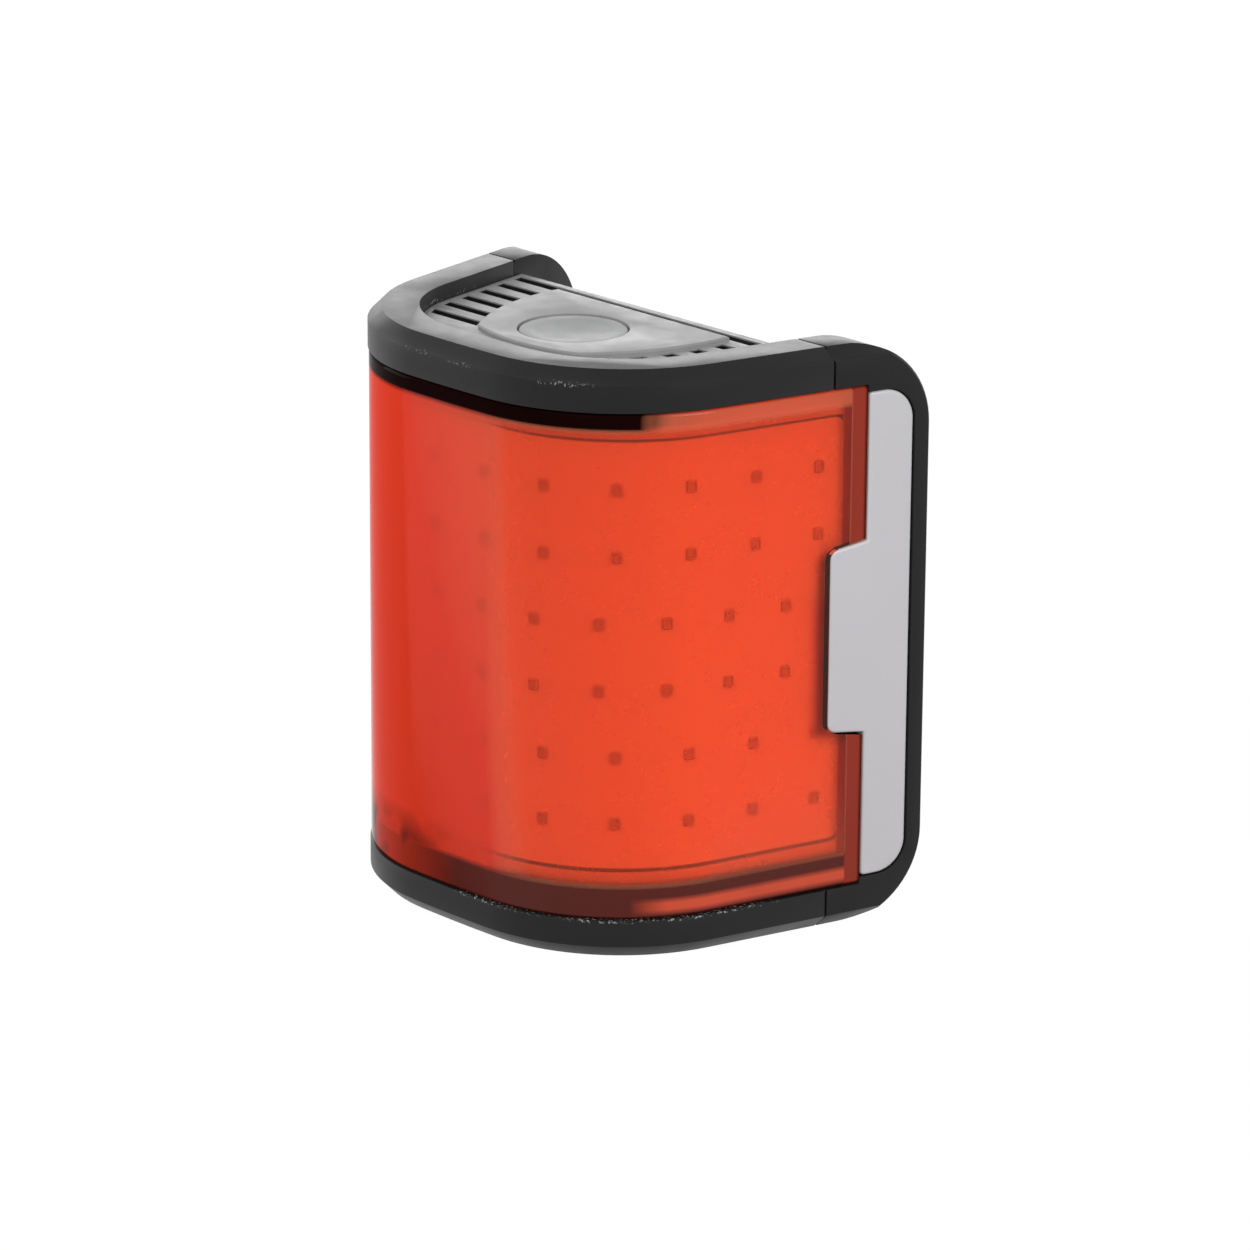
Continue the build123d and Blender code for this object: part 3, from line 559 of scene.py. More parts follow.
@dataclass(frozen=True)
class ClearLens:
    """Clear tinted plastic with a faint haze, satin on its inner face and deeper red seen edge-on."""

    name: str
    tint: Colour
    edge_tint: Colour = (0.93, 0.055, 0.021)
    # Painted shadow of each tab: a darker strip beside it.
    strip_tint: Colour = (0.80, 0.17, 0.08)
    # Painted shade at the lens's ends: an opaque medium red for the shaded tray seen through them.
    welded: Colour = (0.38, 0.034, 0.014)
    # Painted highlight: the opaque orange of the bright streaks along the edges.
    glinting: Colour = (0.94, 0.115, 0.05)
    # The near black of the painted shade on the ends, the pocket walls and under the top rim.
    shaded: Colour = (0.01, 0.002, 0.002)
    # The dark red of the painted shaded band along the lower edge and of the blots on the lower left.
    low_shade_red: Colour = (0.13, 0.016, 0.009)
    marks: LensMarks = LensMarks()
    roughness: float = 0.06
    inner_roughness: float = 0.27
    haze_per_metre: float = 160.0
    wave_per_metre: float = 45.0
    wave_depth: float = 0.02
    ior: float = 1.47
    clearness: float = 0.955
    shine: Colour = (0.3, 0.3, 0.3)
    mirror: Span = (0.5, 0.01)

    def build(self) -> bpy.types.Material:
        """Builds the material.

        Returns:
            The material.
        """
        g = Graph(self.name)
        satin = g.spread(g.marked(INNER_FACE), self.roughness, self.inner_roughness, 0.0, 1.0)
        rough = g.product(satin, g.spread(g.noise(self.haze_per_metre, 4.0), 0.8, 1.25))
        normal = g.bump(g.noise(self.wave_per_metre, 1.0), self.wave_depth, 0.25)
        marks = self.marks
        strips, low_dark, glint, shade = marks.strips(g), marks.low_shade_and_blots(g), marks.glint(g), marks.shade(g)
        weld = g.rearward(marks.weld)
        facing = g.add("LayerWeight", {"Blend": 0.5}).outputs["Facing"]
        deep = g.spread(facing, 0.0, 1.0, *marks.deep)
        tone = g.spread(facing, 0.0, 1.0, *marks.deep_tone)
        colour = g.over(tone, self.tint, self.edge_tint)
        # Lay the painted shadow strips, the painted shaded band and blots, the painted highlight streaks and
        # the painted shade of the ends and the seat over the tint.
        for share, laid in ((strips, self.strip_tint), (low_dark, self.low_shade_red), (glint, self.glinting),
                            (weld, self.welded), (shade, self.shaded)):
            colour = g.over(share, colour, laid)
        solid = g.most(weld, deep, glint, low_dark, shade)
        glass = g.surface(Base_Color=colour, Roughness=rough, Normal=normal, IOR=self.ior,
                          Specular_Tint=(*self.shine, 1),
                          Transmission_Weight=g.spread(solid, self.clearness, 0.0, 0.0, 1.0),
                          Specular_IOR_Level=g.spread(g.most(deep, shade), *self.mirror, 0.0, 1.0))
        through = g.add("BsdfTransparent", {"Color": (*(math.sqrt(share) for share in self.tint), 1)})
        shadow = g.add("LightPath").outputs["Is Shadow Ray"]
        return g.finish(g.add("MixShader", {0: shadow, 1: glass.outputs[0], 2: through.outputs[0]}))


@dataclass(frozen=True)
class SoftRubber:
    """Dull moulded rubber with a bloom on it."""

    name: str
    colour: Colour = (0.014, 0.014, 0.015)
    bloom: Colour = (0.05, 0.05, 0.052)
    bloom_per_metre: float = 140.0
    sheen_per_metre: float = 900.0
    grain_per_metre: float = 3800.0
    grain_depth: float = 0.02

    def build(self) -> bpy.types.Material:
        """Builds the material.

        Returns:
            The material.
        """
        g = Graph(self.name)
        bloom = g.spread(g.noise(self.bloom_per_metre, 5.0), 0.0, 0.5, 0.45, 0.8)
        colour = g.over(bloom, self.colour, self.bloom)
        rough = g.spread(g.noise(self.sheen_per_metre), 0.62, 0.82)
        normal = g.bump(g.noise(self.grain_per_metre, 2.0), self.grain_depth, 0.7)
        return g.finish(g.surface(Base_Color=colour, Roughness=rough, Normal=normal))


@dataclass(frozen=True)
class BoardEdgeShade:
    """Painted shade along the curved board's edge, which follows its rounded outline."""

    colour: Colour = (0.20, 0.17, 0.16)
    end_ahead: float = 7.35
    low: float = 8.1
    high: float = 48.25
    corner: float = 1.3
    width: float = 0.28
    fade: float = 0.7

    def share(self, g: Graph) -> Socket:
        """1 in the painted edge shade and 0 on the rest of the board.

        Args:
            g: The material's graph.

        Returns:
            The share.
        """
        end = OUTLINE.loop_y - self.end_ahead - self.corner
        half = (self.high - self.low) / 2 - self.corner
        height = g.away(g.place["Z"], (self.low + self.high) / 2)
        past = [g.calc("MAXIMUM", g.calc("SUBTRACT", length, limit * MM), 0.0)
                for length, limit in ((g.place["Y"], end), (height, half))]
        reach = g.calc("SQRT", g.calc("ADD", *(g.product(length, length) for length in past)))
        return g.ramp(reach, (self.corner - self.width, self.corner - self.width * self.fade))


@dataclass(frozen=True)
class BoardLacquer:
    """Lacquered circuit board: a solder mask with faint tracks under it."""

    name: str
    mask: Colour
    track: Colour
    track_per_metre: float = 320.0
    track_share: float = 0.25
    track_edge: Span = (0.03, 0.06)
    sheen_per_metre: float = 600.0
    grain_per_metre: float = 1500.0
    grain_depth: float = 0.006
    roughness: float = 0.32
    relief: float = 0.02
    edge_shade: BoardEdgeShade | None = None

    def build(self) -> bpy.types.Material:
        """Builds the material.

        Returns:
            The material.
        """
        g = Graph(self.name)
        cells = g.add("TexVoronoi", {"Vector": g.where, "Scale": self.track_per_metre},
                      feature="DISTANCE_TO_EDGE")
        lines = g.spread(cells.outputs["Distance"], self.track_share, 0.0, *self.track_edge)
        colour = g.over(lines, self.mask, self.track)
        # Painted shade along the board's edge.
        if self.edge_shade:
            colour = g.over(self.edge_shade.share(g), colour, self.edge_shade.colour)
        rough = g.spread(g.noise(self.sheen_per_metre), self.roughness * 0.8, self.roughness * 1.25)
        normal = g.bump(lines, self.relief, 0.4)
        normal = g.bump(g.noise(self.grain_per_metre, 2.0), self.grain_depth, 0.5, normal)
        return g.finish(g.surface(Base_Color=colour, Roughness=rough, Normal=normal))


@dataclass(frozen=True)
class PlatedMetal:
    """Plated or rolled metal with fine scratches along one axis."""

    name: str
    colour: Colour
    shade: Colour
    roughness: float = 0.3
    stretch: tuple[float, float, float] = (1.0, 18.0, 1.0)
    scratches_per_metre: float = 1600.0
    scratch_depth: float = 0.004
    sheen_per_metre: float = 700.0

    def build(self) -> bpy.types.Material:
        """Builds the material.

        Returns:
            The material.
        """
        g = Graph(self.name)
        lines = g.noise(self.scratches_per_metre, 4.0, 0.6, g.stretched(self.stretch))
        colour = g.over(g.spread(lines, 0.0, 1.0), self.colour, self.shade)
        rough = g.spread(g.noise(self.sheen_per_metre), self.roughness * 0.7, self.roughness * 1.4)
        normal = g.bump(lines, self.scratch_depth, 0.5)
        return g.finish(g.surface(Base_Color=colour, Roughness=rough, Normal=normal, Metallic=1.0))


@dataclass(frozen=True)
class WovenMesh:
    """Fine woven mesh cloth."""

    name: str
    colour: Colour = (0.006, 0.006, 0.007)
    wire: Colour = (0.03, 0.03, 0.032)
    waves_per_metre: float = 260.0
    wire_depth: float = 0.08
    gloss: float = 0.05

    def build(self) -> bpy.types.Material:
        """Builds the material.

        Returns:
            The material.
        """
        g = Graph(self.name)
        weave = g.product(*(g.add("TexWave", {"Vector": g.where, "Scale": self.waves_per_metre},
                                  bands_direction=axis).outputs["Fac"] for axis in ("X", "Y")))
        colour = g.over(weave, self.colour, self.wire)
        rough = g.spread(weave, 0.9, 0.6)
        return g.finish(g.surface(Base_Color=colour, Roughness=rough, Specular_IOR_Level=self.gloss,
                                  Normal=g.bump(weave, self.wire_depth, 0.8)))


FINISHES: dict[Slot, bpy.types.Material] = {slot: finish.build() for slot, finish in {
    # The shell's light specks along the chamfer edges are wear and partly a painted highlight.
    Slot.SHELL: MouldedPlastic("black_moulded_shell", (0.011, 0.011, 0.0115), (0.014, 0.014, 0.0145),
                               roughness=0.40, roughness_spread=0.03, specular=0.22,
                               wear_and_highlight_heights=(53.72, 3.72)),
    Slot.LENS: ClearLens("clear_red_lens", (0.885, 0.277, 0.132)),
    Slot.RUBBER: SoftRubber("soft_black_rubber"),
    Slot.TRAY: MouldedPlastic("white_moulded_tray", (0.70, 0.68, 0.66), (0.62, 0.60, 0.58), roughness=0.5),
    Slot.BOARD_WHITE: BoardLacquer("white_board_lacquer", (0.84, 0.82, 0.80), (0.83, 0.81, 0.785),
                                   relief=0.003, edge_shade=BoardEdgeShade()),
    Slot.DIODE: MouldedPlastic("amber_diode_resin", (0.60, 0.44, 0.27), (0.52, 0.38, 0.23), roughness=0.25),
    Slot.TRIM: MouldedPlastic("pale_satin_trim", (0.735, 0.722, 0.752), (0.70, 0.686, 0.712),
                              roughness=0.38, grain_depth=0.006),
    Slot.PANEL: MouldedPlastic("grey_matt_panel", (0.32, 0.32, 0.32), (0.285, 0.285, 0.285),
                               roughness=0.5, coat_above=PANEL_TOP - 0.12),
    Slot.BUTTON: MouldedPlastic("grey_matt_button", (0.305, 0.308, 0.312), (0.28, 0.283, 0.287),
                                roughness=0.52, specular=0.3),
    Slot.MESH: WovenMesh("fine_black_mesh"),
    Slot.BOARD_GREEN: BoardLacquer("green_board_lacquer", (0.012, 0.10, 0.045), (0.03, 0.22, 0.09)),
    Slot.CHIP: MouldedPlastic("black_chip_resin", (0.018, 0.018, 0.02), (0.03, 0.03, 0.032), roughness=0.5),
    Slot.STEEL: PlatedMetal("plated_steel", (0.60, 0.60, 0.61), (0.46, 0.46, 0.47)),
    Slot.CELL: PlatedMetal("cell_foil", (0.66, 0.67, 0.68), (0.56, 0.57, 0.58), 0.36, (1.0, 1.0, 9.0)),
    Slot.FOAM: SoftRubber("grey_foam", (0.05, 0.05, 0.055), (0.09, 0.09, 0.095)),
}.items()}


# Shared shapes


def rounded_rectangle(left: float, right: float, low: float, high: float, radius: float,
                      steps: int = 3) -> list[Plan]:
    """Corner points of a rectangle with rounded corners, anticlockwise.

    Args:
        left: Least first coordinate.
        right: Greatest first coordinate.
        low: Least second coordinate.
        high: Greatest second coordinate.
        radius: Corner radius.
        steps: Steps for each corner.

    Returns:
        The points.
    """
    centres = ((right - radius, low + radius), (right - radius, high - radius),
               (left + radius, high - radius), (left + radius, low + radius))
    points = []
    for turn, centre in enumerate(centres, -1):
        points += arc(centre, radius, turn * QUARTER, (turn + 1) * QUARTER, steps)
    return points


def new_object(name: str, data: bpy.types.ID) -> bpy.types.Object:
    """Puts a mesh, a lamp or a camera into the scene as an object at the origin.

    Args:
        name: The object's name.
        data: The mesh, lamp or camera.

    Returns:
        The object.
    """
    piece = bpy.data.objects.new(name, data)
    bpy.context.scene.collection.objects.link(piece)
    return piece


def mesh_from(name: str, bm: bmesh.types.BMesh) -> bpy.types.Mesh:
    """Turns a bmesh into a mesh.

    Args:
        name: The mesh's name.
        bm: The bmesh, which is freed.

    Returns:
        The mesh.
    """
    mesh = bpy.data.meshes.new(name)
    bm.to_mesh(mesh)
    bm.free()
    return mesh


def outwards(name: str, bm: bmesh.types.BMesh) -> bpy.types.Mesh:
    """Turns a bmesh into a mesh with its faces outwards."""
    bmesh.ops.recalc_face_normals(bm, faces=bm.faces)
    return mesh_from(name, bm)


def loft(name: str, rings: Sequence[Sequence[tuple[float, float, float]]]) -> bpy.types.Mesh:
    """A closed solid through rings of points that match one to one.

    Args:
        name: The mesh's name.
        rings: The rings, from one end to the other.

    Returns:
        The mesh.
    """
    bm = bmesh.new()
    laid = [[bm.verts.new([value * MM for value in point]) for point in ring] for ring in rings]
    for first, second in zip(laid, laid[1:]):
        for k in range(len(first)):
            following = (k + 1) % len(first)
            bm.faces.new((first[k], first[following], second[following], second[k]))
    bm.faces.new(laid[0][::-1])
    bm.faces.new(laid[-1])
    return outwards(name, bm)


def swept(name: str, profile: Sequence[Plan], rear: float) -> bpy.types.Mesh:
    """A closed band that follows the plan outline.

    Args:
        name: The mesh's name.
        profile: Section as (inset, height) points.
        rear: How far ahead of the loops its ends lie.

    Returns:
        The mesh.
    """
    edges = [[(x, y, height) for x, y in OUTLINE.stations(inset, rear)] for inset, height in profile]
    return loft(name, list(zip(*edges)))


def prism(name: str, points: Sequence[Plan], low: float, high: float) -> bpy.types.Mesh:
    """An upright prism of a plan polygon."""
    return loft(name, [[(x, y, height) for x, y in points] for height in (low, high)])


def lathe(name: str, section: Sequence[Plan], centre: Plan, steps: int = 72) -> bpy.types.Mesh:
    """A closed turned shape about an upright axis.

    Args:
        name: The mesh's name.
        section: (radius, height) points from the axis round to the axis again.
        centre: Plan point of the axis.
        steps: Steps round the axis.

    Returns:
        The mesh.
    """
    bm = bmesh.new()
    rings = []
    for radius, height in section:
        ring = arc(centre, radius, 0.0, math.tau, steps)[:-1] if radius else [centre]
        rings.append([bm.verts.new((x * MM, y * MM, height * MM)) for x, y in ring])
    for first, second in zip(rings, rings[1:]):
        for k in range(steps):
            corners = [ring[number % len(ring)] for ring, number in ((first, k), (first, (k + 1) % steps),
                                                                     (second, (k + 1) % steps), (second, k))]
            bm.faces.new(list(dict.fromkeys(corners)))
    return outwards(name, bm)


def welded(node: str) -> bpy.types.Mesh:
    """A copy of a frame node with its triangles merged into whole faces.

    Args:
        node: The node's name.

    Returns:
        The copy.
    """
    bm = bmesh.new()
    bm.from_mesh(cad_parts[node].data)
    bmesh.ops.remove_doubles(bm, verts=bm.verts, dist=WELD_METRES)
    bmesh.ops.dissolve_limit(bm, angle_limit=math.radians(FLAT_DEGREES), verts=bm.verts, edges=bm.edges,
                             use_dissolve_boundaries=False)
    return mesh_from(node + "_form", bm)


def settle(piece: bpy.types.Object) -> None:
    """Turns a piece's modifiers into its plain mesh.

    Args:
        piece: The piece.
    """
    bpy.context.view_layer.update()
    graph = bpy.context.evaluated_depsgraph_get()
    mesh = bpy.data.meshes.new_from_object(piece.evaluated_get(graph))
    piece.modifiers.clear()
    piece.data = mesh


def soften(piece: bpy.types.Object, width: float, sharper_than: float = 32.0) -> None:
    """Rounds a piece's edges a little and shades it smooth.

    Args:
        piece: The piece.
        width: Width of the rounding in millimetres.
        sharper_than: Edges turned more than this many degrees are rounded.
    """
    if width:
        bevel = piece.modifiers.new("edge_round", "BEVEL")
        bevel.width = width * MM
        bevel.segments = ROUND_STEPS
        bevel.limit_method = "ANGLE"
        bevel.angle_limit = math.radians(sharper_than)
        bevel.use_clamp_overlap = True
        settle(piece)
    piece.data.shade_smooth()
    piece.data.set_sharp_from_angle(angle=math.radians(sharper_than))


def cut(piece: bpy.types.Object, cutter: bpy.types.Object) -> None:
    """Takes a cutter's volume out of a piece and removes the cutter.

    Args:
        piece: The piece.
        cutter: The cutter.
    """
    boolean = piece.modifiers.new("cut", "BOOLEAN")
    boolean.operation = "DIFFERENCE"
    boolean.solver = "EXACT"
    boolean.object = cutter
    settle(piece)
    bpy.data.objects.remove(cutter)


def grow(piece: bpy.types.Object, tree: bpy.types.NodeTree, shape: bpy.types.Object, slot: Slot,
         values: dict[str, object]) -> None:
    """Runs a tree of copies on a piece, keeps the plain mesh and removes the shape that it copied.

    Args:
        piece: The piece.
        tree: The tree.
        shape: The shape.
        slot: The copies' finish.
        values: The tree's other inputs by name.
    """
    values = {**values, "Shape": shape, "Finish": FINISHES[slot]}
    modifier = piece.modifiers.new(tree.name, "NODES")
    modifier.node_group = tree
    for socket in tree.interface.items_tree:
        if socket.in_out == "INPUT" and socket.name in values:
            modifier[socket.identifier] = values[socket.name]
    settle(piece)
    bpy.data.objects.remove(shape)


def coat(piece: bpy.types.Object, slot: Slot) -> None:
    """Gives a piece the material of its finish."""
    piece.data.materials.clear()
    piece.data.materials.append(FINISHES[slot])


def dress(piece: bpy.types.Object, slot: Slot, body: Body | None, *nodes: str) -> bpy.types.Object:
    """Gives a piece its finish and its body.

    Args:
        piece: The piece.
        slot: Its finish.
        body: The body that it moves with, or None where it is stretched between two.
        *nodes: Frame nodes that it stands for.

    Returns:
        The piece.
    """
    coat(piece, slot)
    if body:
        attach(piece, body.value)
    if nodes:
        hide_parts(*nodes)
    LOG.info("%s: %d faces", piece.name, len(piece.data.polygons))
    return piece


def finish_node(node: str, slot: Slot) -> None:
    """Gives a frame node that stays its finish."""
    coat(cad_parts[node], slot)
    LOG.info("%s: kept", node)


def soft_copy(node: str, name: str, slot: Slot, body: Body | None, width: float,
              sharper_than: float = 32.0) -> bpy.types.Object:
    """A frame node's form with softly rounded edges, in place of the node.

    Args:
        node: The node's name.
        name: The piece's name.
        slot: Its finish.
        body: The body that it moves with, if only one.
        width: Width of the rounding in millimetres.
        sharper_than: Edges turned more than this many degrees are rounded.

    Returns:
        The piece.
    """
    piece = new_object(name, welded(node))
    soften(piece, width, sharper_than)
    return dress(piece, slot, body, node)


# Pieces of the light


@dataclass
class Shell:
    """The two black mouldings: the front frame with its rims and the rear housing with its loops."""

    edge_round: float = 0.16

    def build(self) -> None:
        """Builds both mouldings."""
        soft_copy("front_frame", "front_shell", Slot.SHELL, Body.LIGHT, self.edge_round)
        soft_copy("rear_housing", "rear_shell", Slot.SHELL, Body.LIGHT, self.edge_round)


@dataclass
class Lens:
    """The red window, with a shallow pocket at each end for the trim's tab."""

    outer: float = 0.1
    thickness: float = 1.55
    low: float = 3.85
    high: float = 51.15
    rear: float = 6.6
    edge_round: float = 0.4
    pocket_depth: float = 0.95
    tab_tip: float = 10.2
    tab_length: float = 3.8
    tab_root_half: float = 9.3
    tab_tip_half: float = 8.6
    tab_corner: float = 0.9
    tab_clear: float = 0.05
    overrun: float = 2.0
    inward_least: float = 0.3
    tab_margin: Plan = (0.2, 0.5)
    wall_sunk: float = 0.05

    def pocket(self, side: int) -> bpy.types.Object:
        """The space that one tab needs.

        Args:
            side: 1 for the right side, -1 for the left.

        Returns:
            A cutter.
        """
        root, tip = self.rear - self.overrun, self.tab_tip + self.tab_clear
        slope = (self.tab_root_half - self.tab_tip_half) / self.tab_length
        tip_half = self.tab_tip_half + self.tab_clear
        root_half = tip_half + slope * (tip - root)
        bend = tip - self.tab_corner
        shape = [(root, MIDDLE - root_half), (bend, MIDDLE - tip_half - slope * self.tab_corner)]
        shape += arc((bend, MIDDLE - tip_half + self.tab_corner), self.tab_corner, -QUARTER, 0.0, 6)[1:]
        shape += [(ahead, 2 * MIDDLE - z) for ahead, z in reversed(shape)]
        rings = [[(side * OUTLINE.side_x(inset, ahead), OUTLINE.loop_y - ahead, z) for ahead, z in shape]
                 for inset in (-self.overrun, self.pocket_depth)]
        return new_object("tab_space", loft("tab_space", rings))

    def mark_faces(self, piece: bpy.types.Object) -> None:
        """Marks the faces that look into the body and those of the tabs' pockets, for the finish.

        Args:
            piece: The window.
        """
        inner = piece.data.attributes.new(INNER_FACE, "FLOAT", "FACE")
        pocket = piece.data.attributes.new(POCKET_WALL, "FLOAT", "FACE")
        reach = self.tab_tip + self.tab_margin[0]
        half = self.tab_root_half + self.tab_margin[1]
        for face in piece.data.polygons:
            sideways = Vector((face.normal.x, face.normal.y))
            inward = sideways.dot(face.center.xy) < -self.inward_least * face.center.xy.length
            ahead = OUTLINE.loop_y - face.center.y / MM
            sunk = (OUTLINE.side_x(0.0, ahead) - abs(face.center.x) / MM) * math.cos(OUTLINE.lean)
            near_tab = ahead < reach and abs(face.center.z / MM - MIDDLE) < half
            walled = near_tab and not inward and sunk > self.outer + self.wall_sunk
            inner.data[face.index].value = float(inward)
            pocket.data[face.index].value = float(walled)

    def build(self) -> None:
        """Builds the window."""
        section = rounded_rectangle(self.outer, self.outer + self.thickness, self.low, self.high,
                                    self.edge_round)
        piece = new_object("lens_window", swept("lens_window", section, self.rear))
        for side in (1, -1):
            cut(piece, self.pocket(side))
        soften(piece, 0.0, 40.0)
        self.mark_faces(piece)
        dress(piece, Slot.LENS, Body.LIGHT, "lens")


@dataclass
class SideTrims:
    """The two pale T-shaped trims."""

    edge_round: float = 0.14

    def build(self) -> None:
        """Builds both trims."""
        for side in ("right", "left"):
            soft_copy("side_trim_" + side, "trim_" + side, Slot.TRIM, Body.LIGHT, self.edge_round, 40.0)


@dataclass
class LightEngine:
    """The flexible board with its rows of diodes, on its white tray."""

    face_inset: float = 2.2
    rear: float = 7.35
    rows: int = 6
    columns: int = 12
    low_row: float = 12.62
    row_pitch: float = 6.222
    wide_pitch: float = 6.562
    narrow_pitch: float = 5.962
    package_width: float = 0.9
    package_height: float = 1.1
    package_rise: float = 0.3
    package_corner: float = 0.12
    package_edge: float = 0.06
    window_rim: float = 0.14
    window_slope: float = 0.05
    window_depth: float = 0.12
    tray_round: float = 0.08

    def package(self) -> bpy.types.Object:
        """One diode: a small block with a rounded edge and a sunk window, facing along +Z.

        Returns:
            The shape to copy.
        """
        rise = self.package_rise
        levels = ((0.0, 0.0), (0.0, rise - self.package_edge), (self.package_edge, rise),
                  (self.window_rim, rise), (self.window_rim + self.window_slope, rise - self.window_depth))
        rings = []
        for inset, height in levels:
            half_x, half_y = self.package_width / 2 - inset, self.package_height / 2 - inset
            points = rounded_rectangle(-half_x, half_x, -half_y, half_y, self.package_corner, 2)
            rings.append([(x, y, height) for x, y in points])
        return new_object("diode_package", loft("diode_package", rings))

    def rows_tree(self) -> bpy.types.NodeTree:
        """Nodes that set the diodes out in rows along the board.

        Returns:
            The node tree.
        """
        tree = CopyTree("diode_rows", {"Rows": "Int", "Columns": "Int", "Low Row": "Float",
                                       "Row Pitch": "Float", "Wide Pitch": "Float", "Narrow Pitch": "Float"})
        given, calc = tree.given, tree.calc
        index = tree.number()
        row = calc("FLOOR", calc("DIVIDE", calc("ADD", index, 0.5), given["Columns"]))
        column = calc("SUBTRACT", index, calc("MULTIPLY", row, given["Columns"]))
        middle_row, middle_column = (calc("DIVIDE", calc("SUBTRACT", given[label], 1.0), 2.0)
                                     for label in ("Rows", "Columns"))
        narrow = calc("LESS_THAN", calc("ABSOLUTE", calc("SUBTRACT", row, middle_row)), 1.0)
        step = calc("SUBTRACT", given["Narrow Pitch"], given["Wide Pitch"])
        pitch = calc("ADD", given["Wide Pitch"], calc("MULTIPLY", narrow, step))
        run = calc("MULTIPLY", calc("SUBTRACT", column, middle_column), pitch)
        curve = tree.add("GeometryNodeMeshToCurve", {"Mesh": given["Geometry"]}).outputs["Curve"]
        length = tree.add("GeometryNodeCurveLength", {"Curve": curve}).outputs["Length"]
        at = calc("ADD", calc("DIVIDE", length, 2.0), run)
        sample = tree.add("GeometryNodeSampleCurve", {"Curves": curve, "Length": at}, mode="LENGTH").outputs
        height = calc("ADD", given["Low Row"], calc("MULTIPLY", row, given["Row Pitch"]))
        place = tree.sum(sample["Position"], tree.add("CombineXYZ", {"Z": height}).outputs[0])
        outward = tree.add("VectorMath", {0: sample["Tangent"], 1: (0.0, 0.0, -1.0)},
                           operation="CROSS_PRODUCT")
        turn = tree.add("FunctionNodeAxesToRotation",
                        {"Primary Axis": outward.outputs[0], "Secondary Axis": (0.0, 0.0, 1.0)},
                        primary_axis="Z", secondary_axis="Y")
        return tree.close(tree.points(tree.product(given["Rows"], given["Columns"]), place), turn.outputs[0])

    def diodes(self) -> bpy.types.Object:
        """All the diodes as one mesh.

        Returns:
            The piece.
        """
        line = [(x * MM, y * MM, 0.0) for x, y in OUTLINE.stations(self.face_inset, self.rear)]
        mesh = bpy.data.meshes.new("diode_line")
        mesh.from_pydata(line, [(k, k + 1) for k in range(len(line) - 1)], [])
        piece = new_object("diode_rows", mesh)
        grow(piece, self.rows_tree(), self.package(), Slot.DIODE, {
            "Rows": self.rows, "Columns": self.columns, "Low Row": self.low_row * MM,
            "Row Pitch": self.row_pitch * MM, "Wide Pitch": self.wide_pitch * MM,
            "Narrow Pitch": self.narrow_pitch * MM})
        return piece

    def build(self) -> None:
        """Builds the light engine."""
        soft_copy("led_carrier", "engine_tray", Slot.TRAY, Body.LIGHT, self.tray_round)
        soft_copy("led_board", "diode_board", Slot.BOARD_WHITE, Body.LIGHT, 0.0, 40.0)
        piece = self.diodes()
        soften(piece, 0.0, 40.0)
        dress(piece, Slot.DIODE, Body.LIGHT, "leds")


@dataclass
class TopPanel:
    """The slotted grey panel with its island, the mesh below the slots and the power button."""

    button_ahead: float = 20.0
    button_radius: float = 5.0
    button_top: float = 53.83
    dish: float = 0.35
    dish_radius: float = 4.2
    dish_steps: int = 8
    edge_round: float = 0.18
    flange_radius: float = 6.0
    flange_top: float = 52.25
    flange_bottom: float = 51.5
    stem_radius: float = 2.0
    stem_bottom: float = 50.9
    seal_top: float = 50.85
    seal_still: float = 49.0

    def seal(self) -> None:
        """The rubber seal under the stem, which the button pushes down and squeezes."""
        piece = soft_copy("button_membrane", "stem_seal", Slot.RUBBER, None, 0.0, 35.0)
        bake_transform(piece)

    def button(self) -> bpy.types.Object:
        """The dished button with its flange and stem.

        Returns:
            The piece.
        """
        radii = [self.dish_radius * step / self.dish_steps for step in range(self.dish_steps + 1)]
        section = [(radius, self.button_top - self.dish * (1 - (radius / self.dish_radius) ** 2))
                   for radius in radii]
        edge = (self.button_radius - self.edge_round, self.button_top - self.edge_round)
        section += arc(edge, self.edge_round, QUARTER, 0.0, 6)
        section += [(self.button_radius, self.flange_top), (self.flange_radius, self.flange_top),
                    (self.flange_radius, self.flange_bottom), (self.stem_radius, self.flange_bottom),
                    (self.stem_radius, self.stem_bottom), (0.0, self.stem_bottom)]
        centre = (0.0, OUTLINE.loop_y - self.button_ahead)
        return new_object("button_cap", lathe("button_cap", section, centre))

    def build(self) -> None:
        """Builds the panel, the mesh and the button."""
        soft_copy("top_panel", "slotted_panel", Slot.PANEL, Body.LIGHT, self.edge_round)
        finish_node("vent_mesh", Slot.MESH)
        cap = self.button()
        soften(cap, 0.0, 40.0)
        dress(cap, Slot.BUTTON, Body.BUTTON, "power_button")
        self.seal()


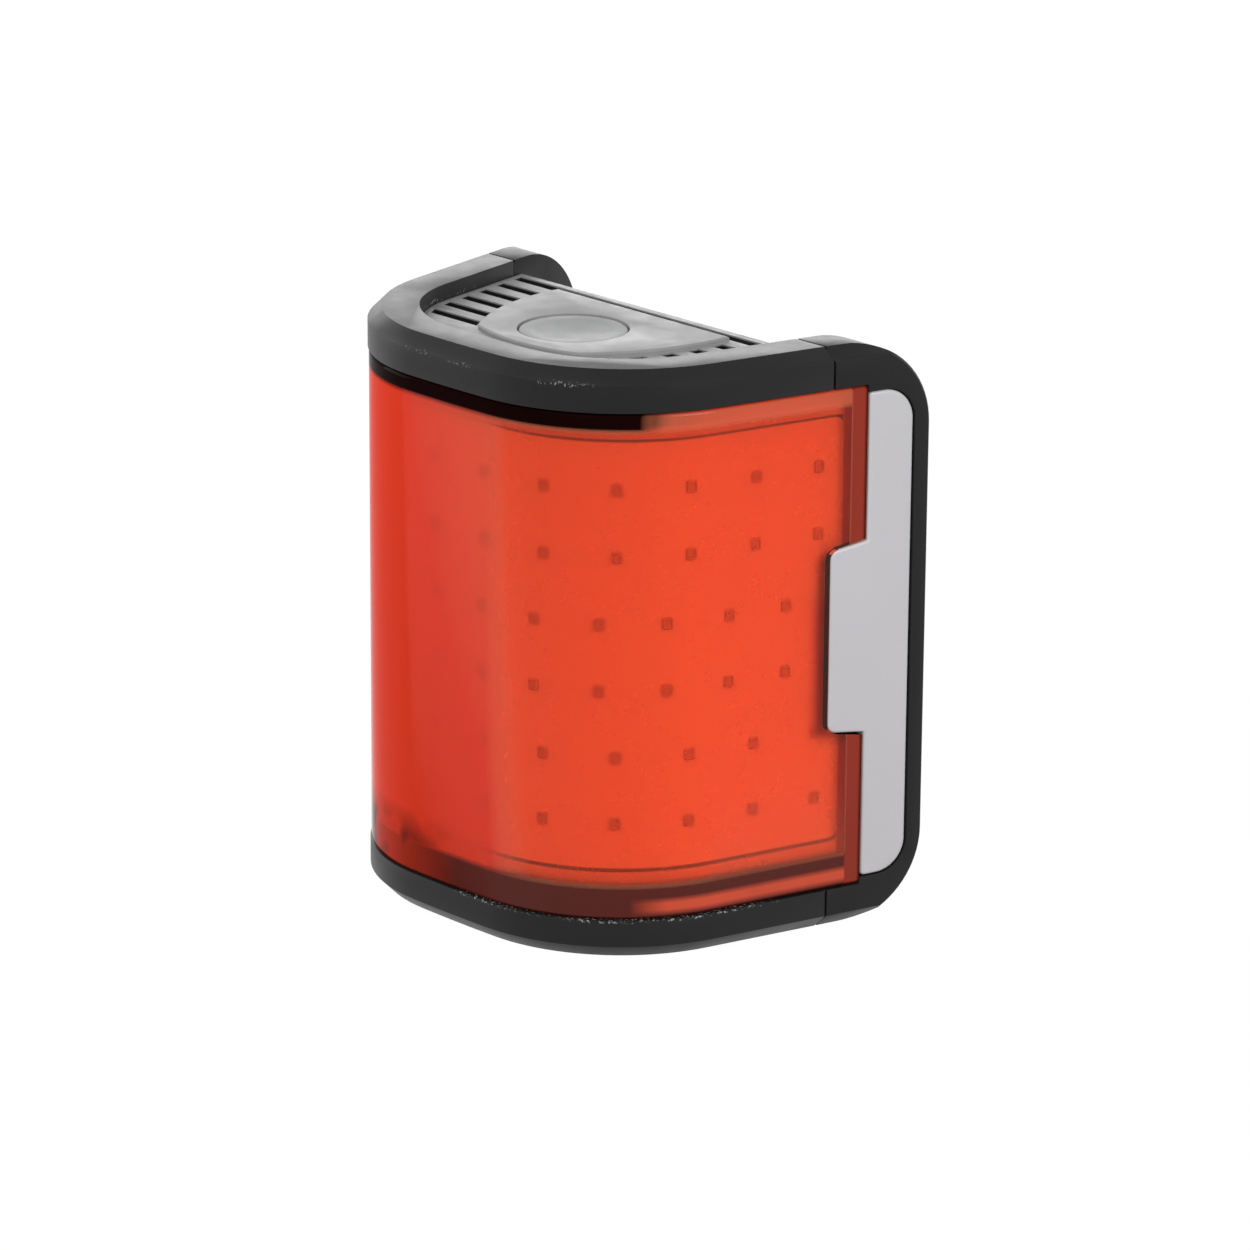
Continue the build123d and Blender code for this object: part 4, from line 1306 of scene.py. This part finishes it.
@dataclass
class SaddlePad:
    """The ribbed rubber pad that rests on the seat post."""

    fit_radius: float = 13.6
    back_radius: float = 15.2
    post_behind: float = 8.6
    tip_behind: float = 4.624
    low: float = 14.6
    high: float = 44.8
    steps: int = 60
    edge_round: float = 0.18
    ribs: int = 19
    rib_height: float = 0.45
    rib_half: float = 0.42
    rib_root: float = -0.25
    rib_flank: float = 0.35
    rib_crown: float = 0.92
    rib_short: float = 0.5
    end_angle: float = 0.12

    def axis_y(self) -> float:
        """Where the post's axis runs."""
        return OUTLINE.loop_y + self.post_behind

    def wrap(self, radius: float) -> float:
        """Angle from the middle to the tip plane at a radius."""
        return math.acos((self.post_behind - self.tip_behind) / radius)

    def curve(self, radius: float) -> list[Plan]:
        """Plan points round the post from one tip to the other."""
        reach = self.wrap(radius)
        return arc((0.0, self.axis_y()), radius, -QUARTER - reach, -QUARTER + reach, self.steps)

    def base(self) -> bpy.types.Object:
        """The plain pad behind the ribs."""
        points = self.curve(self.back_radius) + self.curve(self.fit_radius + self.rib_height)[::-1]
        return new_object("pad_base", prism("pad_base", points, self.low, self.high))

    def rib(self) -> bpy.types.Object:
        """One upright rib with a rounded face, its back at the origin and its face along +X.

        Returns:
            The shape to copy.
        """
        section = [(self.rib_root, -self.rib_half), (0.0, -self.rib_half)]
        section += arc((self.rib_height * self.rib_flank, 0.0), self.rib_height * (1 - self.rib_flank),
                       -QUARTER, QUARTER, 6, self.rib_half * self.rib_crown)
        section += [(0.0, self.rib_half), (self.rib_root, self.rib_half)]
        return new_object("pad_rib", prism("pad_rib", section, self.low + self.rib_short,
                                           self.high - self.rib_short))

    def ribs_tree(self) -> bpy.types.NodeTree:
        """Nodes that set the ribs out round the pad.

        Returns:
            The node tree.
        """
        tree = CopyTree("pad_ribs", {"Ribs": "Int", "Radius": "Float", "Wrap": "Float", "Axis": "Vector"})
        given, calc = tree.given, tree.calc
        share = calc("DIVIDE", tree.number(), calc("SUBTRACT", given["Ribs"], 1.0))
        turn = calc("MULTIPLY", calc("SUBTRACT", calc("MULTIPLY", share, 2.0), 1.0), given["Wrap"])
        angle = calc("SUBTRACT", turn, QUARTER)
        round_post = {"X": calc("MULTIPLY", given["Radius"], calc("COSINE", angle)),
                      "Y": calc("MULTIPLY", given["Radius"], calc("SINE", angle))}
        place = tree.sum(tree.add("CombineXYZ", round_post).outputs[0], given["Axis"])
        spin = tree.add("CombineXYZ", {"Z": calc("ADD", angle, math.pi)})
        return tree.close(tree.points(given["Ribs"], place), spin.outputs[0])

    def build(self) -> None:
        """Builds the pad and its ribs."""
        base = self.base()
        soften(base, self.edge_round)
        dress(base, Slot.RUBBER, Body.LIGHT, "saddle_pad")
        ribs = new_object("pad_ribs", bpy.data.meshes.new("pad_ribs"))
        grow(ribs, self.ribs_tree(), self.rib(), Slot.RUBBER, {
            "Ribs": self.ribs, "Radius": (self.fit_radius + self.rib_height) * MM,
            "Wrap": self.wrap(self.back_radius) - self.end_angle, "Axis": (0.0, self.axis_y() * MM, 0.0)})
        soften(ribs, 0.0, 50.0)
        dress(ribs, Slot.RUBBER, Body.LIGHT)


@dataclass
class RearFittings:
    """What shows on the rear wall besides the saddle: the charging door and the housing screws."""

    screw_x: float = 15.4
    screw_heights: Span = (7.5, 47.5)
    seat_ahead: float = 10.1
    head_radius: float = 1.8
    head_height: float = 1.0
    head_crown: float = 0.3
    head_dome: float = 0.05
    dome_steps: int = 4
    shank_radius: float = 1.0
    shank_length: float = 5.0
    point: Plan = (0.35, 0.4)
    screw_steps: int = 40
    cross_half: Plan = (1.05, 0.24)
    cross_depth: float = 0.75
    cross_over: float = 0.3
    cross_taper: float = 0.45
    door_round: float = 0.12
    seal_round: float = 0.05

    def screw(self) -> bpy.types.Object:
        """One cross-head screw: its head's underside at the origin and its point along +Z.

        Returns:
            The shape to copy.
        """
        rim = self.head_radius - self.head_crown
        radii = [rim * step / self.dome_steps for step in range(self.dome_steps + 1)]
        section = [(radius, -self.head_height + self.head_dome * (radius / self.head_radius) ** 2)
                   for radius in radii]
        section += arc((rim, self.head_crown + self.head_dome - self.head_height), self.head_crown,
                       -QUARTER, 0.0, 5)[1:]
        section += [(self.head_radius, 0.0), (self.shank_radius, 0.0),
                    (self.shank_radius, self.shank_length - self.point[1]),
                    (self.shank_radius - self.point[0], self.shank_length), (0.0, self.shank_length)]
        piece = new_object("cross_screw", lathe("cross_screw", section, (0.0, 0.0), self.screw_steps))
        ends = ((1.0, -self.head_height - self.cross_over),
                (self.cross_taper, -self.head_height + self.cross_depth))
        for x, y in (self.cross_half, self.cross_half[::-1]):
            rings = [[(across * x * share, along * y * share, height)
                      for across, along in ((-1, -1), (1, -1), (1, 1), (-1, 1))] for share, height in ends]
            cut(piece, new_object("cross_arm", loft("cross_arm", rings)))
        return piece

    def screws(self) -> bpy.types.Object:
        """The four housing screws.

        Returns:
            The piece.
        """
        mesh = bpy.data.meshes.new("housing_screw_points")
        mesh.from_pydata([(x * MM, (OUTLINE.loop_y - self.seat_ahead) * MM, z * MM)
                          for x in (-self.screw_x, self.screw_x) for z in self.screw_heights], [], [])
        piece = new_object("wall_screws", mesh)
        tree = CopyTree("screw_places", {"Turn": "Rotation"})
        grow(piece, tree.close(tree.given["Geometry"], tree.given["Turn"]), self.screw(), Slot.STEEL,
             {"Turn": (QUARTER, 0.0, 0.0)})
        return piece

    def build(self) -> None:
        """Builds the fittings."""
        soft_copy("port_door", "charging_door", Slot.SHELL, Body.DOOR, self.door_round)
        soft_copy("port_seal", "door_seal", Slot.RUBBER, Body.DOOR, self.seal_round)
        finish_node("hinge_pin", Slot.STEEL)
        screws = self.screws()
        soften(screws, 0.0, 35.0)
        dress(screws, Slot.STEEL, Body.LIGHT, "housing_screws")


@dataclass
class Innards:
    """The sealed inner parts, which keep their frame shapes."""

    finishes: dict[Slot, tuple[str, ...]] = field(default_factory=lambda: {
        Slot.RUBBER: ("lens_gasket",),
        Slot.BOARD_GREEN: ("switch_board", "main_board"),
        Slot.CHIP: ("control_chip", "charge_chip", "motion_sensor", "buzzer", "switch_plunger"),
        Slot.STEEL: ("tactile_switch", "usb_socket", "small_board_screws", "board_screws"),
        Slot.CELL: ("battery",),
        Slot.FOAM: ("battery_pad",),
    })

    def build(self) -> None:
        """Finishes the inner parts."""
        for slot, nodes in self.finishes.items():
            for node in nodes:
                finish_node(node, slot)


# Studio


@dataclass(frozen=True)
class Softbox:
    """One soft lamp that faces the light."""

    name: str
    place: tuple[float, float, float]
    size: Span
    watts: float

    def build(self, target: Vector) -> None:
        """Puts the lamp into the scene, turned to the target.

        Args:
            target: The point that it faces.
        """
        lamp = bpy.data.lights.new(self.name, "AREA")
        lamp.shape = "RECTANGLE"
        lamp.size, lamp.size_y = self.size
        lamp.energy = self.watts
        piece = new_object(self.name, lamp)
        piece.location = self.place
        piece.rotation_euler = (target - Vector(self.place)).to_track_quat("-Z", "Y").to_euler()


@dataclass
class Studio:
    """The floor, the lamps, the surroundings and the camera."""

    azimuth: float = math.radians(46.889)
    elevation: float = math.radians(17.647)
    roll: float = math.radians(-0.407)
    distance: float = 576.966
    aim_ahead: float = 12.0
    side_shift: float = 0.956
    lift_shift: float = 3.357
    focal_pixels: float = 6216.707
    image_pixels: float = 1250.0
    sensor: float = 36.0
    clip: Span = (0.02, 20.0)
    floor_size: float = 6.0
    floor_paper: Colour = (0.31, 0.31, 0.31)
    floor_patches: Colour = (0.28, 0.28, 0.28)
    patches_per_metre: float = 3.0
    floor_roughness: float = 0.9
    floor_glow: float = 0.85
    glow_level: float = 1.15
    ambient: float = 0.42
    lit_point: tuple[float, float, float] = (0.0, 0.0, 0.028)
    lamps: tuple[Softbox, ...] = (
        Softbox("key_softbox", (0.15, -0.75, 0.62), (0.55, 0.55), 2.8),
        Softbox("left_softbox", (-0.78, -0.34, 0.20), (0.4, 0.5), 2.8),
        Softbox("right_softbox", (0.85, 0.05, 0.45), (0.4, 0.5), 3.4),
        Softbox("back_softbox", (-0.66, 0.63, 0.27), (1.1, 0.42), 3.9),
    )

    def camera(self) -> None:
        """Stands the camera at the photograph's viewpoint."""
        turn, rise = self.azimuth, self.elevation
        right = Vector((math.cos(turn), math.sin(turn), 0.0))
        ahead = Vector((-math.sin(turn) * math.cos(rise), math.cos(turn) * math.cos(rise), -math.sin(rise)))
        upward = right.cross(ahead)
        middle = Vector((0.0, OUTLINE.loop_y - self.aim_ahead, MIDDLE))
        place = middle - self.side_shift * right - self.lift_shift * upward - self.distance * ahead
        rolled_right = right * math.cos(self.roll) - upward * math.sin(self.roll)
        rolled_up = right * math.sin(self.roll) + upward * math.cos(self.roll)
        lens = bpy.data.cameras.new("photo_camera")
        lens.sensor_width = self.sensor
        lens.lens = self.focal_pixels * self.sensor / self.image_pixels
        lens.clip_start, lens.clip_end = self.clip
        piece = new_object("photo_camera", lens)
        axes = Matrix((rolled_right, rolled_up, -ahead)).transposed()
        piece.matrix_world = Matrix.Translation(place * MM) @ axes.to_4x4()
        bpy.context.scene.camera = piece

    @staticmethod
    def met_white(kit: NodeKit) -> Socket:
        """1 for rays that meet the white surroundings: from the camera, in gloss or through the lens."""
        path = kit.add("LightPath").outputs
        return kit.most(path["Is Camera Ray"], path["Is Glossy Ray"], path["Is Transmission Ray"])

    def floor(self) -> None:
        """Lays the pale floor, which keeps the light's soft shadow."""
        half = self.floor_size / 2
        corners = [(-half, -half, 0), (half, -half, 0), (half, half, 0), (-half, half, 0)]
        mesh = bpy.data.meshes.new("pale_floor")
        mesh.from_pydata(corners, [], [(0, 1, 2, 3)])
        piece = new_object("pale_floor", mesh)
        g = Graph("pale_floor")
        colour = g.over(g.noise(self.patches_per_metre), self.floor_paper, self.floor_patches)
        paper = g.surface(Base_Color=colour, Roughness=self.floor_roughness)
        glow = g.add("Emission", {"Strength": self.glow_level})
        share = g.product(self.met_white(g), self.floor_glow)
        mix = g.add("MixShader", {0: share, 1: paper.outputs[0], 2: glow.outputs[0]})
        mesh.materials.append(g.finish(mix))

    def surroundings(self) -> None:
        """Lights the scene softly from all round, and shows white behind it."""
        world = bpy.data.worlds.new("studio")
        bpy.context.scene.world = world
        world.use_nodes = True
        kit = NodeKit(world.node_tree)
        kit.nodes.clear()
        soft, white = (kit.add("Background", {"Strength": level}) for level in (self.ambient, 1.0))
        mix = kit.add("MixShader", {0: self.met_white(kit), 1: soft.outputs[0], 2: white.outputs[0]})
        kit.add("OutputWorld", {0: mix.outputs[0]})

    def build(self) -> None:
        """Sets the studio up."""
        bpy.context.scene.view_settings.view_transform = "Standard"
        self.camera()
        self.surroundings()
        self.floor()
        for lamp in self.lamps:
            lamp.build(Vector(self.lit_point))


def main() -> None:
    """Builds the studio and every piece of the light."""
    logging.basicConfig(level=logging.INFO, format="%(message)s")
    Studio().build()
    for part in (Shell(), LightEngine(), Lens(), SideTrims(), TopPanel(), SaddlePad(), RearFittings(),
                 Innards()):
        part.build()
        LOG.info("%s is done", type(part).__name__)


if __name__ == "__main__":
    main()
